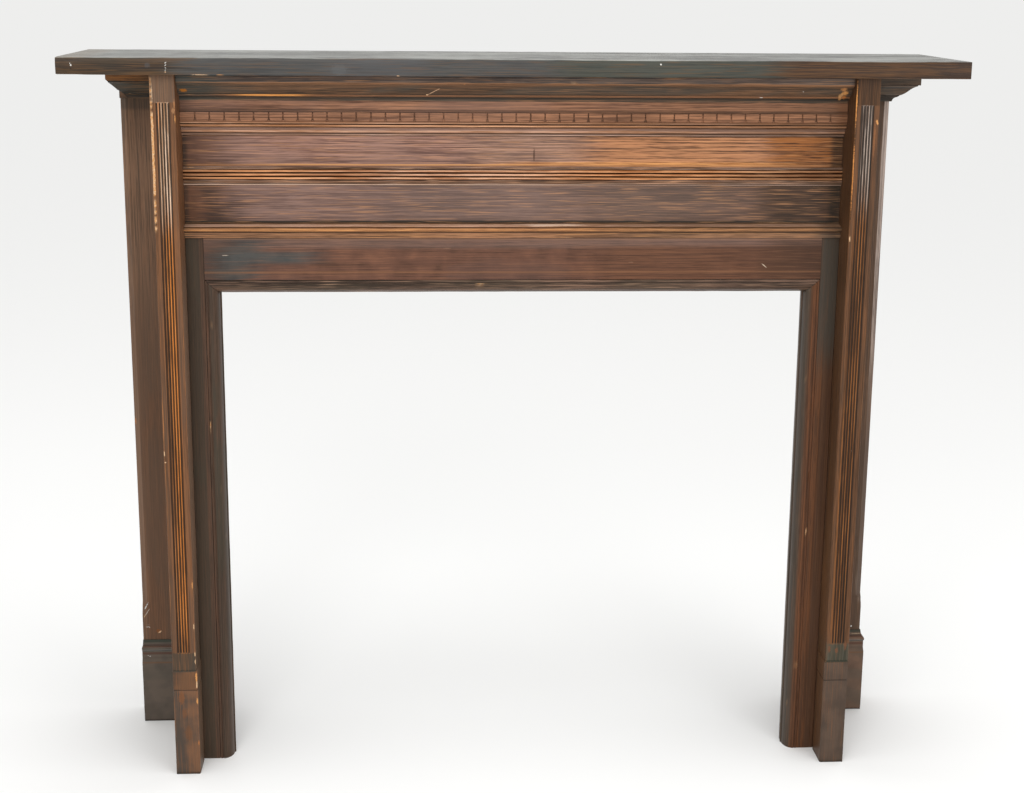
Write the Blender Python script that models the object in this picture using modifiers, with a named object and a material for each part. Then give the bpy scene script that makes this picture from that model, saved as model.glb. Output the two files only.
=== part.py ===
"""Fireplace mantel in stained softwood, in metres, with +Z up.

The origin is on the floor, at the middle of the width and of the depth.
The shelf's front edge faces -Y and its back edge, against the wall, is at +Y.
Two fluted posts carry the shelf. Between them stand a frieze with a dentil
moulding, two plain bands and a strip of reeds, and below it a header and two
legs around a square opening. A side panel runs back from each post to a
narrow wing, which has a crown under the shelf and a base at the floor.
"""
import math

import bmesh
import bpy
from mathutils import Matrix, Vector

# Gap left between two pieces that touch
TOUCH = 0.0003

# Board thicknesses
BOARD_THICKNESS = 0.020
SHELF_THICKNESS = 0.0288
ARRIS = 0.0012

# The opening and the moulding around it
OPENING_WIDTH = 1.0304
OPENING_HEIGHT = 0.8736
EDGE_MOULDING_WIDTH = 0.0263
EDGE_MOULDING_DEPTH = 0.0465
EDGE_CURVE_DEPTH = 0.0310
EDGE_FILLET = 0.0042
EDGE_QUIRK = 0.0016
EDGE_BEAD = 0.0046
EDGE_PROUD = 0.0008

# Legs, header and posts
LEG_BOARD_WIDTH = 0.0314
HEADER_HEIGHT = 0.0743
HEADER_PROUD = 0.0015
POST_WIDTH = 0.0419
POST_PROJECTION = 0.0615
BLOCK_HEIGHT = 0.2000
BLOCK_PROUD = 0.0018
BLOCK_GROOVE_HEIGHT = 0.1630
BLOCK_GROOVE_WIDTH = 0.0026
BLOCK_GROOVE_DEPTH = 0.0014
FLUTE_COUNT = 5
FLUTE_PITCH = 0.00485
FLUTE_WIDTH = 0.0032
FLUTE_BOTTOM_GAP = 0.0340
FLUTE_TOP_GAP = 0.0459

# The frieze, from the header up to the crown
FRIEZE_SETBACK = 0.0115
OGEE_BAND_HEIGHT = 0.0118
OGEE_BAND_PROUD = 0.0165
OGEE_BEAD_HEIGHT = 0.0075
OGEE_BEAD_PROUD = 0.0245
OGEE_SLOPE_HEIGHT = 0.0062
OGEE_SLOPE_RUN = 0.0185
LOWER_BAND_HEIGHT = 0.0649
REED_TOE_HEIGHT = 0.0030
REED_SILL_HEIGHT = 0.0061
REED_COUNT = 3
REED_PITCH = 0.0062
REED_CAP_HEIGHT = 0.0039
REED_PROUD = 0.0075
REED_TOE_PROUD = 0.0030
REED_SILL_PROUD = 0.0055
UPPER_BAND_HEIGHT = 0.0541
BED_TOE_HEIGHT = 0.0042
BED_TOE_PROUD = 0.0055
BED_COVE_HEIGHT = 0.0104
BED_COVE_PROUD = 0.0080
BED_QUIRK = 0.0011
BED_BEAD_HEIGHT = 0.0040
BED_FILLET_HEIGHT = 0.0040
BED_FASCIA_HEIGHT = 0.0190
BED_FASCIA_PROUD = 0.0200
DENTIL_HEIGHT = 0.0154
DENTIL_PROUD = 0.0022
DENTIL_PITCH = 0.02478
KERF_SHIFT = -0.0022
KERF_WIDTH = 0.0018
KERF_FOOT_WIDTH = 0.0056
KERF_FOOT_HEIGHT = 0.0030
KERF_UNDERCUT = 0.0005

# The crown moulding, the same on the frieze and on both wings
CROWN_COVE_HEIGHT = 0.0085
CROWN_COVE_START = 0.0015
CROWN_COVE_END = 0.0095
CROWN_STEP_HEIGHT = 0.0030
CROWN_STEP_OUT = 0.0020
CROWN_OGEE_HEIGHT = 0.0185
CROWN_OGEE_OUT = 0.0265
CROWN_OGEE_EASE = 0.42
CROWN_LIP_HEIGHT = 0.0030
CROWN_LIP_OUT = 0.0040
CENTRE_FILLET_HEIGHT = 0.0124
WING_FILLET_HEIGHT = 0.0220
LEFT_RETURN_PROJECTION = 0.0165
RIGHT_RETURN_PROJECTION = 0.0424

# Wings, which aren't quite a pair
LEFT_WING_WIDTH = 0.0884
RIGHT_WING_WIDTH = 0.0858
WING_SETBACK = 0.1806
RETURN_DEPTH = 0.0629
CHAMFER = 0.0110
CHAMFER_STOP_FOOT = 0.2090
CHAMFER_STOP_HEIGHT = 0.0390

# Base at the foot of each wing
PLINTH_HEIGHT = 0.1225
PLINTH_PROJECTION = 0.0083
LEFT_BASE_PROJECTION = 0.0026
RIGHT_BASE_PROJECTION = 0.0083
BASE_SPLAY_HEIGHT = 0.0090
BASE_SPLAY_OUT = 0.0014
BASE_FILLET_HEIGHT = 0.0130
BASE_BEAD_HEIGHT = 0.0090
BASE_COVE_HEIGHT = 0.0130
BASE_COVE_OUT = 0.0045

# Shelf overhangs
SHELF_END_OVERHANG = 0.0614
SHELF_FRONT_OVERHANG = 0.0215

# Steps in each curved stretch of a profile
CURVE_STEPS = 6
FLUTE_SIDES = 8

# Places across the width, from the middle outwards
OPENING_X = OPENING_WIDTH / 2
LEG_BOARD_X = OPENING_X + EDGE_MOULDING_WIDTH
POST_X = LEG_BOARD_X + LEG_BOARD_WIDTH
SIDE_X = POST_X + POST_WIDTH
WING_X = {-1: SIDE_X + LEFT_WING_WIDTH, 1: SIDE_X + RIGHT_WING_WIDTH}
SHELF_X = WING_X[1] + SHELF_END_OVERHANG

# Places through the depth, counted from the shelf's front edge
POST_FRONT = SHELF_FRONT_OVERHANG
LEG_FRONT = POST_FRONT + POST_PROJECTION
FRIEZE_FACE = LEG_FRONT + FRIEZE_SETBACK
FRAME_BACK = FRIEZE_FACE + BOARD_THICKNESS
WING_FACE = LEG_FRONT + WING_SETBACK
DEPTH = WING_FACE + RETURN_DEPTH

# Heights above the floor
HEADER_FOOT = OPENING_HEIGHT + EDGE_MOULDING_WIDTH
OGEE_RAIL_FOOT = HEADER_FOOT + HEADER_HEIGHT
OGEE_RAIL_HEIGHT = OGEE_BAND_HEIGHT + OGEE_BEAD_HEIGHT + OGEE_SLOPE_HEIGHT
REED_STRIP_FOOT = OGEE_RAIL_FOOT + OGEE_RAIL_HEIGHT + LOWER_BAND_HEIGHT
REED_STRIP_HEIGHT = REED_TOE_HEIGHT + REED_SILL_HEIGHT + REED_COUNT * REED_PITCH + REED_CAP_HEIGHT
BED_FOOT = REED_STRIP_FOOT + REED_STRIP_HEIGHT + UPPER_BAND_HEIGHT
BED_BEAD_FOOT = BED_TOE_HEIGHT + BED_COVE_HEIGHT + BED_QUIRK
BED_FILLET_FOOT = BED_BEAD_FOOT + BED_BEAD_HEIGHT + BED_QUIRK
DENTIL_FOOT = BED_FILLET_FOOT + BED_FILLET_HEIGHT
DENTIL_TOP = DENTIL_FOOT + DENTIL_HEIGHT
CROWN_FOOT = BED_FOOT + DENTIL_TOP + BED_FASCIA_HEIGHT
CROWN_CURVES_HEIGHT = CROWN_COVE_HEIGHT + CROWN_STEP_HEIGHT + CROWN_OGEE_HEIGHT + CROWN_LIP_HEIGHT
SHELF_FOOT = CROWN_FOOT + CROWN_CURVES_HEIGHT + CENTRE_FILLET_HEIGHT
SHELF_TOP = SHELF_FOOT + SHELF_THICKNESS
CROWN_PROJECTION = CROWN_COVE_END + CROWN_STEP_OUT + CROWN_OGEE_OUT + CROWN_LIP_OUT
WING_CROWN_FOOT = SHELF_FOOT - CROWN_CURVES_HEIGHT - WING_FILLET_HEIGHT


def at_depth(from_front):
    """Y of a place counted from the shelf's front edge."""
    return from_front - DEPTH / 2


def new_scene():
    """Removes every object and makes the two collections."""
    for old in list(bpy.data.objects):
        bpy.data.objects.remove(old, do_unlink=True)
    found = {}
    for name in ("fireplace_mantel", "cutters"):
        found[name] = bpy.data.collections.new(name)
        bpy.context.scene.collection.children.link(found[name])
    return found["fireplace_mantel"], found["cutters"]


PARTS, CUTTERS = new_scene()


def stain(name, red, green, blue, roughness):
    """Stained wood, one for each piece."""
    made = bpy.data.materials.new(name + "_stain")
    made.use_nodes = True
    shader = made.node_tree.nodes["Principled BSDF"]
    shader.inputs["Base Color"].default_value = (red, green, blue, 1.0)
    shader.inputs["Roughness"].default_value = roughness
    shader.inputs["Metallic"].default_value = 0.0
    return made


DARK = (0.070, 0.034, 0.018, 0.48)
WARM = (0.110, 0.050, 0.022, 0.45)
WORN = (0.190, 0.080, 0.030, 0.50)
GREY = (0.150, 0.130, 0.110, 0.60)


def finish(obj, name, tone):
    """Names an object, puts it with the parts and gives it its stain."""
    obj.name = name
    obj.data.name = name
    for holder in list(obj.users_collection):
        holder.objects.unlink(obj)
    PARTS.objects.link(obj)
    obj.data.materials.clear()
    obj.data.materials.append(stain(name, *tone))
    return obj


def box(name, low, high, tone, arris=ARRIS):
    """A board from its lowest to its highest corner, with eased edges."""
    low = Vector(low)
    high = Vector(high)
    bpy.ops.mesh.primitive_cube_add(size=1.0, location=(low + high) / 2)
    obj = bpy.context.active_object
    obj.data.transform(Matrix.Diagonal((*(high - low), 1.0)))
    finish(obj, name, tone)
    if arris:
        ease(obj, arris)
    return obj


def ease(obj, width):
    """Takes the sharp edge off a piece."""
    bevel = obj.modifiers.new("arris", "BEVEL")
    bevel.width = width
    bevel.segments = 1
    bevel.limit_method = "ANGLE"
    bevel.angle_limit = math.radians(60)


def flat_curve(points, half_length):
    """A closed outline in the plane, thickened by half_length both ways."""
    data = bpy.data.curves.new("outline", "CURVE")
    data.dimensions = "2D"
    data.fill_mode = "BOTH"
    data.extrude = half_length
    spline = data.splines.new("POLY")
    spline.points.add(len(points) - 1)
    for point, (across, up) in zip(spline.points, points):
        point.co = (across, up, 0.0, 1.0)
    spline.use_cyclic_u = True
    return bpy.data.objects.new("outline", data)


def as_mesh(obj):
    """Turns an extruded outline into one closed mesh object."""
    CUTTERS.objects.link(obj)
    bpy.context.view_layer.update()
    seen = obj.evaluated_get(bpy.context.evaluated_depsgraph_get())
    mesh = bpy.data.meshes.new_from_object(seen)
    made = bpy.data.objects.new("solid", mesh)
    made.matrix_world = obj.matrix_world.copy()
    bpy.data.objects.remove(obj, do_unlink=True)
    shape = bmesh.new()
    shape.from_mesh(mesh)
    bmesh.ops.remove_doubles(shape, verts=shape.verts, dist=0.00001)
    bmesh.ops.recalc_face_normals(shape, faces=shape.faces)
    shape.to_mesh(mesh)
    shape.free()
    return made


def strip(name, profile, half_width, face, foot, tone):
    """A moulding along X: profile holds (proud of the face, above the foot)."""
    points = [(at_depth(face - out), foot + up) for out, up in profile]
    obj = flat_curve(points, half_width)
    obj.rotation_euler = (math.pi / 2, 0.0, math.pi / 2)
    return finish(as_mesh(obj), name, tone)


def upright(name, plan, low, high, tone):
    """A board along Z: plan holds (x, y) points."""
    obj = flat_curve(plan, (high - low) / 2)
    obj.location.z = (low + high) / 2
    return finish(as_mesh(obj), name, tone)


def run(name, profile, start, end, tone):
    """A moulding between two sections that its mitres may slant.

    start and end turn a profile point into its place in space.
    """
    shape = bmesh.new()
    first = [shape.verts.new(start(*point)) for point in profile]
    last = [shape.verts.new(end(*point)) for point in profile]
    count = len(profile)
    for i in range(count):
        j = (i + 1) % count
        shape.faces.new((first[i], first[j], last[j], last[i]))
    shape.faces.new(first)
    shape.faces.new(last)
    bmesh.ops.recalc_face_normals(shape, faces=shape.faces)
    mesh = bpy.data.meshes.new(name)
    shape.to_mesh(mesh)
    shape.free()
    return finish(bpy.data.objects.new(name, mesh), name, tone)


def use_as_tool(target, tool, operation):
    """Cuts the tool from the target, or joins it on."""
    for holder in list(tool.users_collection):
        holder.objects.unlink(tool)
    CUTTERS.objects.link(tool)
    tool.hide_render = True
    tool.display_type = "WIRE"
    step = target.modifiers.new(operation.lower(), "BOOLEAN")
    step.operation = operation
    step.solver = "EXACT"
    step.object = tool


def arc(centre_out, centre_up, reach_out, reach_up, first, last, steps=CURVE_STEPS):
    """Points on an ellipse between two angles in degrees."""
    points = []
    for i in range(steps + 1):
        angle = math.radians(first + (last - first) * i / steps)
        points.append((centre_out + reach_out * math.cos(angle), centre_up + reach_up * math.sin(angle)))
    return points


def bead(base_out, foot, height, rise):
    """A half-round standing out from base_out, from foot upwards."""
    return arc(base_out, foot + height / 2, rise, height / 2, -90, 90)


def crown_profile(fillet_height):
    """Cove, step, ogee, lip and fillet, from the foot upwards."""
    points = [(TOUCH, 0.0)]
    cove_reach = CROWN_COVE_END - CROWN_COVE_START
    points += arc(CROWN_COVE_END, 0.0, cove_reach, CROWN_COVE_HEIGHT, 180, 90)
    out = CROWN_COVE_END
    up = CROWN_COVE_HEIGHT + CROWN_STEP_HEIGHT / 2
    points.append((out, up))
    out += CROWN_STEP_OUT
    points.append((out, up))
    up += CROWN_STEP_HEIGHT / 2
    steps = CURVE_STEPS + 2
    for i in range(steps + 1):
        along = i / steps
        rise = along - CROWN_OGEE_EASE * math.sin(2 * math.pi * along) / (2 * math.pi)
        points.append((out + CROWN_OGEE_OUT * along, up + CROWN_OGEE_HEIGHT * rise))
    out += CROWN_OGEE_OUT
    up += CROWN_OGEE_HEIGHT + CROWN_LIP_HEIGHT / 2
    points.append((out, up))
    out += CROWN_LIP_OUT
    points.append((out, up))
    top = CROWN_CURVES_HEIGHT + fillet_height - TOUCH
    points += [(out, top), (TOUCH, top)]
    return points


def base_profile():
    """Plinth, splay, fillet, bead and cove, from the floor upwards."""
    points = [(TOUCH, 0.0), (PLINTH_PROJECTION, 0.0), (PLINTH_PROJECTION, PLINTH_HEIGHT)]
    fillet_out = PLINTH_PROJECTION - BASE_SPLAY_OUT
    up = PLINTH_HEIGHT + BASE_SPLAY_HEIGHT
    points.append((fillet_out, up))
    up += BASE_FILLET_HEIGHT
    points.append((fillet_out, up))
    points += bead(fillet_out - BASE_SPLAY_OUT, up, BASE_BEAD_HEIGHT, 2 * BASE_SPLAY_OUT)
    up += BASE_BEAD_HEIGHT
    cove_foot_out = TOUCH + BASE_SPLAY_OUT + BASE_COVE_OUT
    cove_top = up + BASE_COVE_HEIGHT
    points += arc(cove_foot_out, cove_top, BASE_COVE_OUT, BASE_COVE_HEIGHT, 270, 180)
    points.append((TOUCH, cove_top))
    return points


def bed_profile():
    """Toe, cove, bead, fillet, dentil band and fascia, then up behind the crown."""
    back = TOUCH
    cove_foot_out = BED_COVE_PROUD
    cove_top_out = BED_FASCIA_PROUD - 2 * BED_QUIRK
    up = BED_TOE_HEIGHT
    points = [(back, 0.0), (BED_TOE_PROUD, 0.0), (BED_TOE_PROUD, up)]
    cove_reach = cove_top_out - cove_foot_out
    points += arc(cove_top_out, up, cove_reach, BED_COVE_HEIGHT, 180, 90)
    up += BED_COVE_HEIGHT + BED_QUIRK
    quirk_out = cove_top_out - BED_QUIRK
    bead_rise = BED_FASCIA_PROUD - BED_QUIRK - quirk_out
    points.append((quirk_out, up - BED_QUIRK))
    points += bead(quirk_out, up, BED_BEAD_HEIGHT, bead_rise)
    up += BED_BEAD_HEIGHT + BED_QUIRK
    fillet_out = BED_FASCIA_PROUD - BED_QUIRK / 2
    points += [(quirk_out, up), (fillet_out, up), (fillet_out, DENTIL_FOOT)]
    dentil_out = BED_FASCIA_PROUD + DENTIL_PROUD
    points += [(dentil_out, DENTIL_FOOT), (dentil_out, DENTIL_TOP)]
    top = SHELF_FOOT - BED_FOOT - TOUCH
    points += [(BED_FASCIA_PROUD, DENTIL_TOP), (BED_FASCIA_PROUD, top), (back, top)]
    return points


def reed_profile():
    """Toe, sill, reeds and cap of the reeded strip."""
    points = [(TOUCH, 0.0), (REED_TOE_PROUD, 0.0), (REED_TOE_PROUD, REED_TOE_HEIGHT)]
    up = REED_TOE_HEIGHT + REED_SILL_HEIGHT
    points += [(REED_SILL_PROUD, REED_TOE_HEIGHT), (REED_SILL_PROUD, up)]
    groove_out = REED_PROUD - REED_PITCH / 2
    for i in range(REED_COUNT):
        points += bead(groove_out, up + i * REED_PITCH, REED_PITCH, REED_PITCH / 2)[: -1]
    up += REED_COUNT * REED_PITCH
    top = up + REED_CAP_HEIGHT
    points += [(groove_out, up), (REED_SILL_PROUD, up), (REED_SILL_PROUD, top), (TOUCH, top)]
    return points


def ogee_profile():
    """Flat band, bead and the slope that runs back to the frieze."""
    up = OGEE_BAND_HEIGHT
    points = [(TOUCH, 0.0), (OGEE_BAND_PROUD, 0.0), (OGEE_BAND_PROUD, up)]
    bead_rise = (OGEE_BEAD_PROUD - OGEE_BAND_PROUD) / 2
    bead_out = OGEE_BEAD_PROUD - bead_rise
    points += bead(bead_out, up, OGEE_BEAD_HEIGHT, bead_rise)
    up += OGEE_BEAD_HEIGHT
    slope_foot = TOUCH + OGEE_SLOPE_RUN
    for i in range(CURVE_STEPS + 1):
        along = i / CURVE_STEPS
        rise = along + CROWN_OGEE_EASE * math.sin(2 * math.pi * along) / (2 * math.pi)
        points.append((slope_foot - OGEE_SLOPE_RUN * along, up + OGEE_SLOPE_HEIGHT * rise))
    return points


def edge_profile():
    """Moulding around the opening, as (away from the opening, behind the legs' face).

    It runs from the outer fillet over a quirk and a broad curve to a bead at
    the opening, and straight back from there.
    """
    outer = EDGE_MOULDING_WIDTH - TOUCH
    front = -EDGE_PROUD
    quirk_start = EDGE_MOULDING_WIDTH - EDGE_FILLET
    quirk_end = quirk_start - EDGE_QUIRK
    quirk_depth = front + EDGE_QUIRK
    points = [(outer, EDGE_MOULDING_DEPTH), (outer, front), (quirk_start, front)]
    points += [(quirk_start, quirk_depth), (quirk_end, quirk_depth)]
    bead_radius = EDGE_BEAD / 2
    curve_end = EDGE_CURVE_DEPTH - EDGE_BEAD - EDGE_QUIRK / 2
    curve_across = quirk_end - bead_radius
    curve_depth = curve_end - front
    points += arc(quirk_end, curve_end, curve_across, curve_depth, 270, 180, CURVE_STEPS + 4)
    notch = bead_radius + EDGE_QUIRK / 2
    bead_start = curve_end + EDGE_QUIRK / 2
    points += [(notch, curve_end), (notch, bead_start)]
    points += arc(bead_radius, bead_start + bead_radius, bead_radius, bead_radius, 270, 90)
    points.append((bead_radius, EDGE_MOULDING_DEPTH))
    return points


def make_shelf():
    """The shelf board, flush with the wall at the back."""
    low = (-SHELF_X, at_depth(0.0), SHELF_FOOT)
    high = (SHELF_X, at_depth(DEPTH), SHELF_TOP)
    box("shelf", low, high, GREY)


def make_frieze():
    """The frieze board and the mouldings planted on it."""
    half_width = POST_X - TOUCH
    low = (-half_width, at_depth(FRIEZE_FACE), OGEE_RAIL_FOOT + TOUCH)
    high = (half_width, at_depth(FRAME_BACK), SHELF_FOOT - TOUCH)
    box("frieze_board", low, high, WARM, arris=0.0)
    crown_face = FRIEZE_FACE - BED_FASCIA_PROUD
    strip("centre_crown", crown_profile(CENTRE_FILLET_HEIGHT), half_width, crown_face, CROWN_FOOT, DARK)
    dentils = strip("dentil_moulding", bed_profile(), half_width, FRIEZE_FACE, BED_FOOT, WARM)
    use_as_tool(dentils, kerf_cutter(), "DIFFERENCE")
    strip("reeded_strip", reed_profile(), half_width, FRIEZE_FACE, REED_STRIP_FOOT, WORN)
    strip("ogee_rail", ogee_profile(), half_width, FRIEZE_FACE, OGEE_RAIL_FOOT, WORN)


def kerf_cutter():
    """Saw kerfs between the dentils, each with a notch at its foot."""
    foot = BED_FOOT + DENTIL_FOOT
    top = BED_FOOT + DENTIL_TOP
    over = KERF_UNDERCUT
    slot = KERF_WIDTH / 2
    notch = KERF_FOOT_WIDTH / 2
    outline = [(-notch, foot - over), (notch, foot - over), (slot, foot + KERF_FOOT_HEIGHT)]
    outline += [(slot, top), (-slot, top), (-slot, foot + KERF_FOOT_HEIGHT)]
    deep = at_depth(FRIEZE_FACE - BED_FASCIA_PROUD + KERF_UNDERCUT)
    clear = at_depth(FRIEZE_FACE - BED_FASCIA_PROUD - 2 * DENTIL_PROUD)
    pairs = int((POST_X - DENTIL_PITCH / 2) / DENTIL_PITCH)
    places = [KERF_SHIFT + i * DENTIL_PITCH for i in range(-pairs, pairs + 1)]
    shape = bmesh.new()
    for place in places:
        add_prism(shape, [(place + x, z) for x, z in outline], deep, clear)
    return tool_object("dentil_kerfs", shape)


def add_prism(shape, outline, first_y, last_y):
    """Adds an outline in the XZ plane, drawn out along Y."""
    near = [shape.verts.new((x, first_y, z)) for x, z in outline]
    far = [shape.verts.new((x, last_y, z)) for x, z in outline]
    for i in range(len(outline)):
        j = (i + 1) % len(outline)
        shape.faces.new((near[i], near[j], far[j], far[i]))
    shape.faces.new(near)
    shape.faces.new(far)


def join_rings(shape, rings):
    """Skins a stack of sections and closes both ends."""
    count = len(rings[0])
    for below, above in zip(rings, rings[1:]):
        for i in range(count):
            j = (i + 1) % count
            shape.faces.new((below[i], below[j], above[j], above[i]))
    shape.faces.new(rings[0])
    shape.faces.new(rings[-1])


def tool_object(name, shape):
    """An object from a bmesh, with its faces pointing out."""
    bmesh.ops.recalc_face_normals(shape, faces=shape.faces)
    mesh = bpy.data.meshes.new(name)
    shape.to_mesh(mesh)
    shape.free()
    return bpy.data.objects.new(name, mesh)


def make_header():
    """The header board and the mitred moulding around the opening."""
    face = LEG_FRONT - HEADER_PROUD
    half_width = LEG_BOARD_X - TOUCH
    low = (-half_width, at_depth(face), HEADER_FOOT + TOUCH)
    high = (half_width, at_depth(face + BOARD_THICKNESS), OGEE_RAIL_FOOT - TOUCH)
    box("header_board", low, high, DARK, arris=0.0)

    def head_end(side):
        return lambda away, behind: Vector(
            (side * (OPENING_X + away - 2 * TOUCH), at_depth(LEG_FRONT + behind), OPENING_HEIGHT + away)
        )

    run("head_moulding", edge_profile(), head_end(-1), head_end(1), DARK)
    for side, word in ((-1, "left"), (1, "right")):
        def leg_foot(away, behind, side=side):
            return Vector((side * (OPENING_X + away), at_depth(LEG_FRONT + behind), 0.0))

        def leg_head(away, behind, side=side):
            return leg_foot(away, behind, side) + Vector((0.0, 0.0, OPENING_HEIGHT + away))

        run("leg_moulding_" + word, edge_profile(), leg_foot, leg_head, DARK)


def side_box(name, side, near_x, far_x, front, back, low, high, tone, arris=ARRIS):
    """A board on one side of the middle, placed by its distance from it."""
    first_x, last_x = sorted((side * near_x, side * far_x))
    corner = (first_x, at_depth(front), low)
    return box(name, corner, (last_x, at_depth(back), high), tone, arris)


def make_leg_board(side, word):
    """Plain board between the opening's moulding and the post."""
    back = LEG_FRONT + BOARD_THICKNESS
    top = OGEE_RAIL_FOOT - TOUCH
    name = "leg_board_" + word
    side_box(name, side, LEG_BOARD_X, POST_X - TOUCH, LEG_FRONT, back, 0.0, top, DARK, arris=0.0)


def make_post(side, word):
    """Fluted post with a block at its foot."""
    top = SHELF_FOOT - TOUCH
    post = side_box("post_" + word, side, POST_X, SIDE_X, POST_FRONT, FRAME_BACK, 0.0, top, WARM)
    use_as_tool(post, block_shape(side, word), "UNION")
    use_as_tool(post, flute_cutter(side, word), "DIFFERENCE")


def block_shape(side, word):
    """Foot block, proud of the post's front and inner side, with a groove around it."""
    half_groove = BLOCK_GROOVE_WIDTH / 2
    levels = [(0.0, BLOCK_PROUD), (BLOCK_GROOVE_HEIGHT - half_groove, BLOCK_PROUD)]
    levels.append((BLOCK_GROOVE_HEIGHT, BLOCK_PROUD - BLOCK_GROOVE_DEPTH))
    levels.append((BLOCK_GROOVE_HEIGHT + half_groove, BLOCK_PROUD))
    levels += [(BLOCK_HEIGHT - BLOCK_PROUD, BLOCK_PROUD), (BLOCK_HEIGHT, TOUCH)]
    back = at_depth(LEG_FRONT - TOUCH)
    shape = bmesh.new()
    rings = []
    for height, proud in levels:
        front = at_depth(POST_FRONT - proud)
        inner = side * (POST_X - proud)
        outer = side * (SIDE_X - BLOCK_PROUD)
        corners = [(inner, front), (outer, front), (outer, back), (inner, back)]
        rings.append([shape.verts.new((x, y, height)) for x, y in corners])
    join_rings(shape, rings)
    return tool_object("post_block_" + word, shape)


def flute_cutter(side, word):
    """Round-bottomed flutes down the face of a post."""
    low = BLOCK_HEIGHT + FLUTE_BOTTOM_GAP
    high = SHELF_FOOT - FLUTE_TOP_GAP
    middle = side * (POST_X + SIDE_X) / 2
    shape = bmesh.new()
    for i in range(FLUTE_COUNT):
        across = middle + (i - (FLUTE_COUNT - 1) / 2) * FLUTE_PITCH
        place = Matrix.Translation((across, at_depth(POST_FRONT), (low + high) / 2))
        bmesh.ops.create_cone(
            shape,
            cap_ends=True,
            segments=FLUTE_SIDES,
            radius1=FLUTE_WIDTH / 2,
            radius2=FLUTE_WIDTH / 2,
            depth=high - low,
            matrix=place @ Matrix.Rotation(math.pi / FLUTE_SIDES, 4, "Z"),
        )
    return tool_object("flutes_" + word, shape)


def make_wing(side, word):
    """Side panel, wing board with a chamfered corner, and the return to the wall."""
    top = SHELF_FOOT - TOUCH
    panel_inner = SIDE_X - BOARD_THICKNESS
    side_box("side_panel_" + word, side, panel_inner, SIDE_X, FRAME_BACK + TOUCH, DEPTH, 0.0, top, DARK)
    back = WING_FACE + BOARD_THICKNESS
    name = "wing_board_" + word
    wing = side_box(name, side, SIDE_X + TOUCH, WING_X[side], WING_FACE, back, 0.0, top, DARK, arris=0.0)
    use_as_tool(wing, chamfer_cutter(side, word), "DIFFERENCE")
    outer = WING_X[side]
    inner = outer - BOARD_THICKNESS
    side_box("return_board_" + word, side, inner, outer, back + TOUCH, DEPTH, 0.0, top, DARK)


def chamfer_cutter(side, word):
    """Chamfer on a wing's outer corner, from the crown down to a curved stop."""
    steps = CURVE_STEPS + 2
    levels = []
    for i in range(steps + 1):
        along = i / steps
        rise = along - math.sin(2 * math.pi * along) / (2 * math.pi)
        size = (CHAMFER + TOUCH) * rise - TOUCH
        levels.append((CHAMFER_STOP_FOOT + CHAMFER_STOP_HEIGHT * along, size))
    levels.append((WING_CROWN_FOOT, CHAMFER))
    shape = bmesh.new()
    rings = []
    for height, size in levels:
        inner = (WING_X[side] - size - ARRIS, WING_FACE - ARRIS)
        outer = (WING_X[side] + ARRIS, WING_FACE + size + ARRIS)
        corners = [inner, (outer[0], inner[1]), outer]
        rings.append([shape.verts.new((side * x, at_depth(depth), height)) for x, depth in corners])
    join_rings(shape, rings)
    return tool_object("wing_chamfer_" + word, shape)


def wrapped_moulding(name, side, word, profile, foot, side_share, tone):
    """A moulding along a wing's face, mitred into one along its side.

    side_share is how far the side piece stands out, as a share of the front one.
    """
    corner = WING_X[side]

    def aside(out):
        return TOUCH + (out - TOUCH) * side_share

    def at_post(out, up):
        return Vector((side * (SIDE_X + TOUCH), at_depth(WING_FACE - out), foot + up))

    def front_mitre(out, up):
        return Vector((side * (corner + aside(out) - 2 * TOUCH), at_depth(WING_FACE - out), foot + up))

    def side_mitre(out, up):
        return Vector((side * (corner + aside(out)), at_depth(WING_FACE - out), foot + up))

    def at_wall(out, up):
        return Vector((side * (corner + aside(out)), at_depth(DEPTH), foot + up))

    run(name + "_front_" + word, profile, at_post, front_mitre, tone)
    run(name + "_return_" + word, profile, side_mitre, at_wall, tone)


def make_mantel():
    """Builds every piece."""
    make_shelf()
    make_frieze()
    make_header()
    crown = crown_profile(WING_FILLET_HEIGHT)
    ends = (
        (-1, "left", LEFT_RETURN_PROJECTION, LEFT_BASE_PROJECTION),
        (1, "right", RIGHT_RETURN_PROJECTION, RIGHT_BASE_PROJECTION),
    )
    for side, word, crown_aside, base_aside in ends:
        make_leg_board(side, word)
        make_post(side, word)
        make_wing(side, word)
        crown_share = crown_aside / CROWN_PROJECTION
        base_share = base_aside / PLINTH_PROJECTION
        wrapped_moulding("wing_crown", side, word, crown, WING_CROWN_FOOT, crown_share, DARK)
        wrapped_moulding("wing_base", side, word, base_profile(), 0.0, base_share, DARK)


make_mantel()
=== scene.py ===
"""Looks of the fireplace mantel: aged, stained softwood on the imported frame."""
import math

import bmesh
import bpy
import numpy as np
from mathutils import Matrix, Vector


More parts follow.
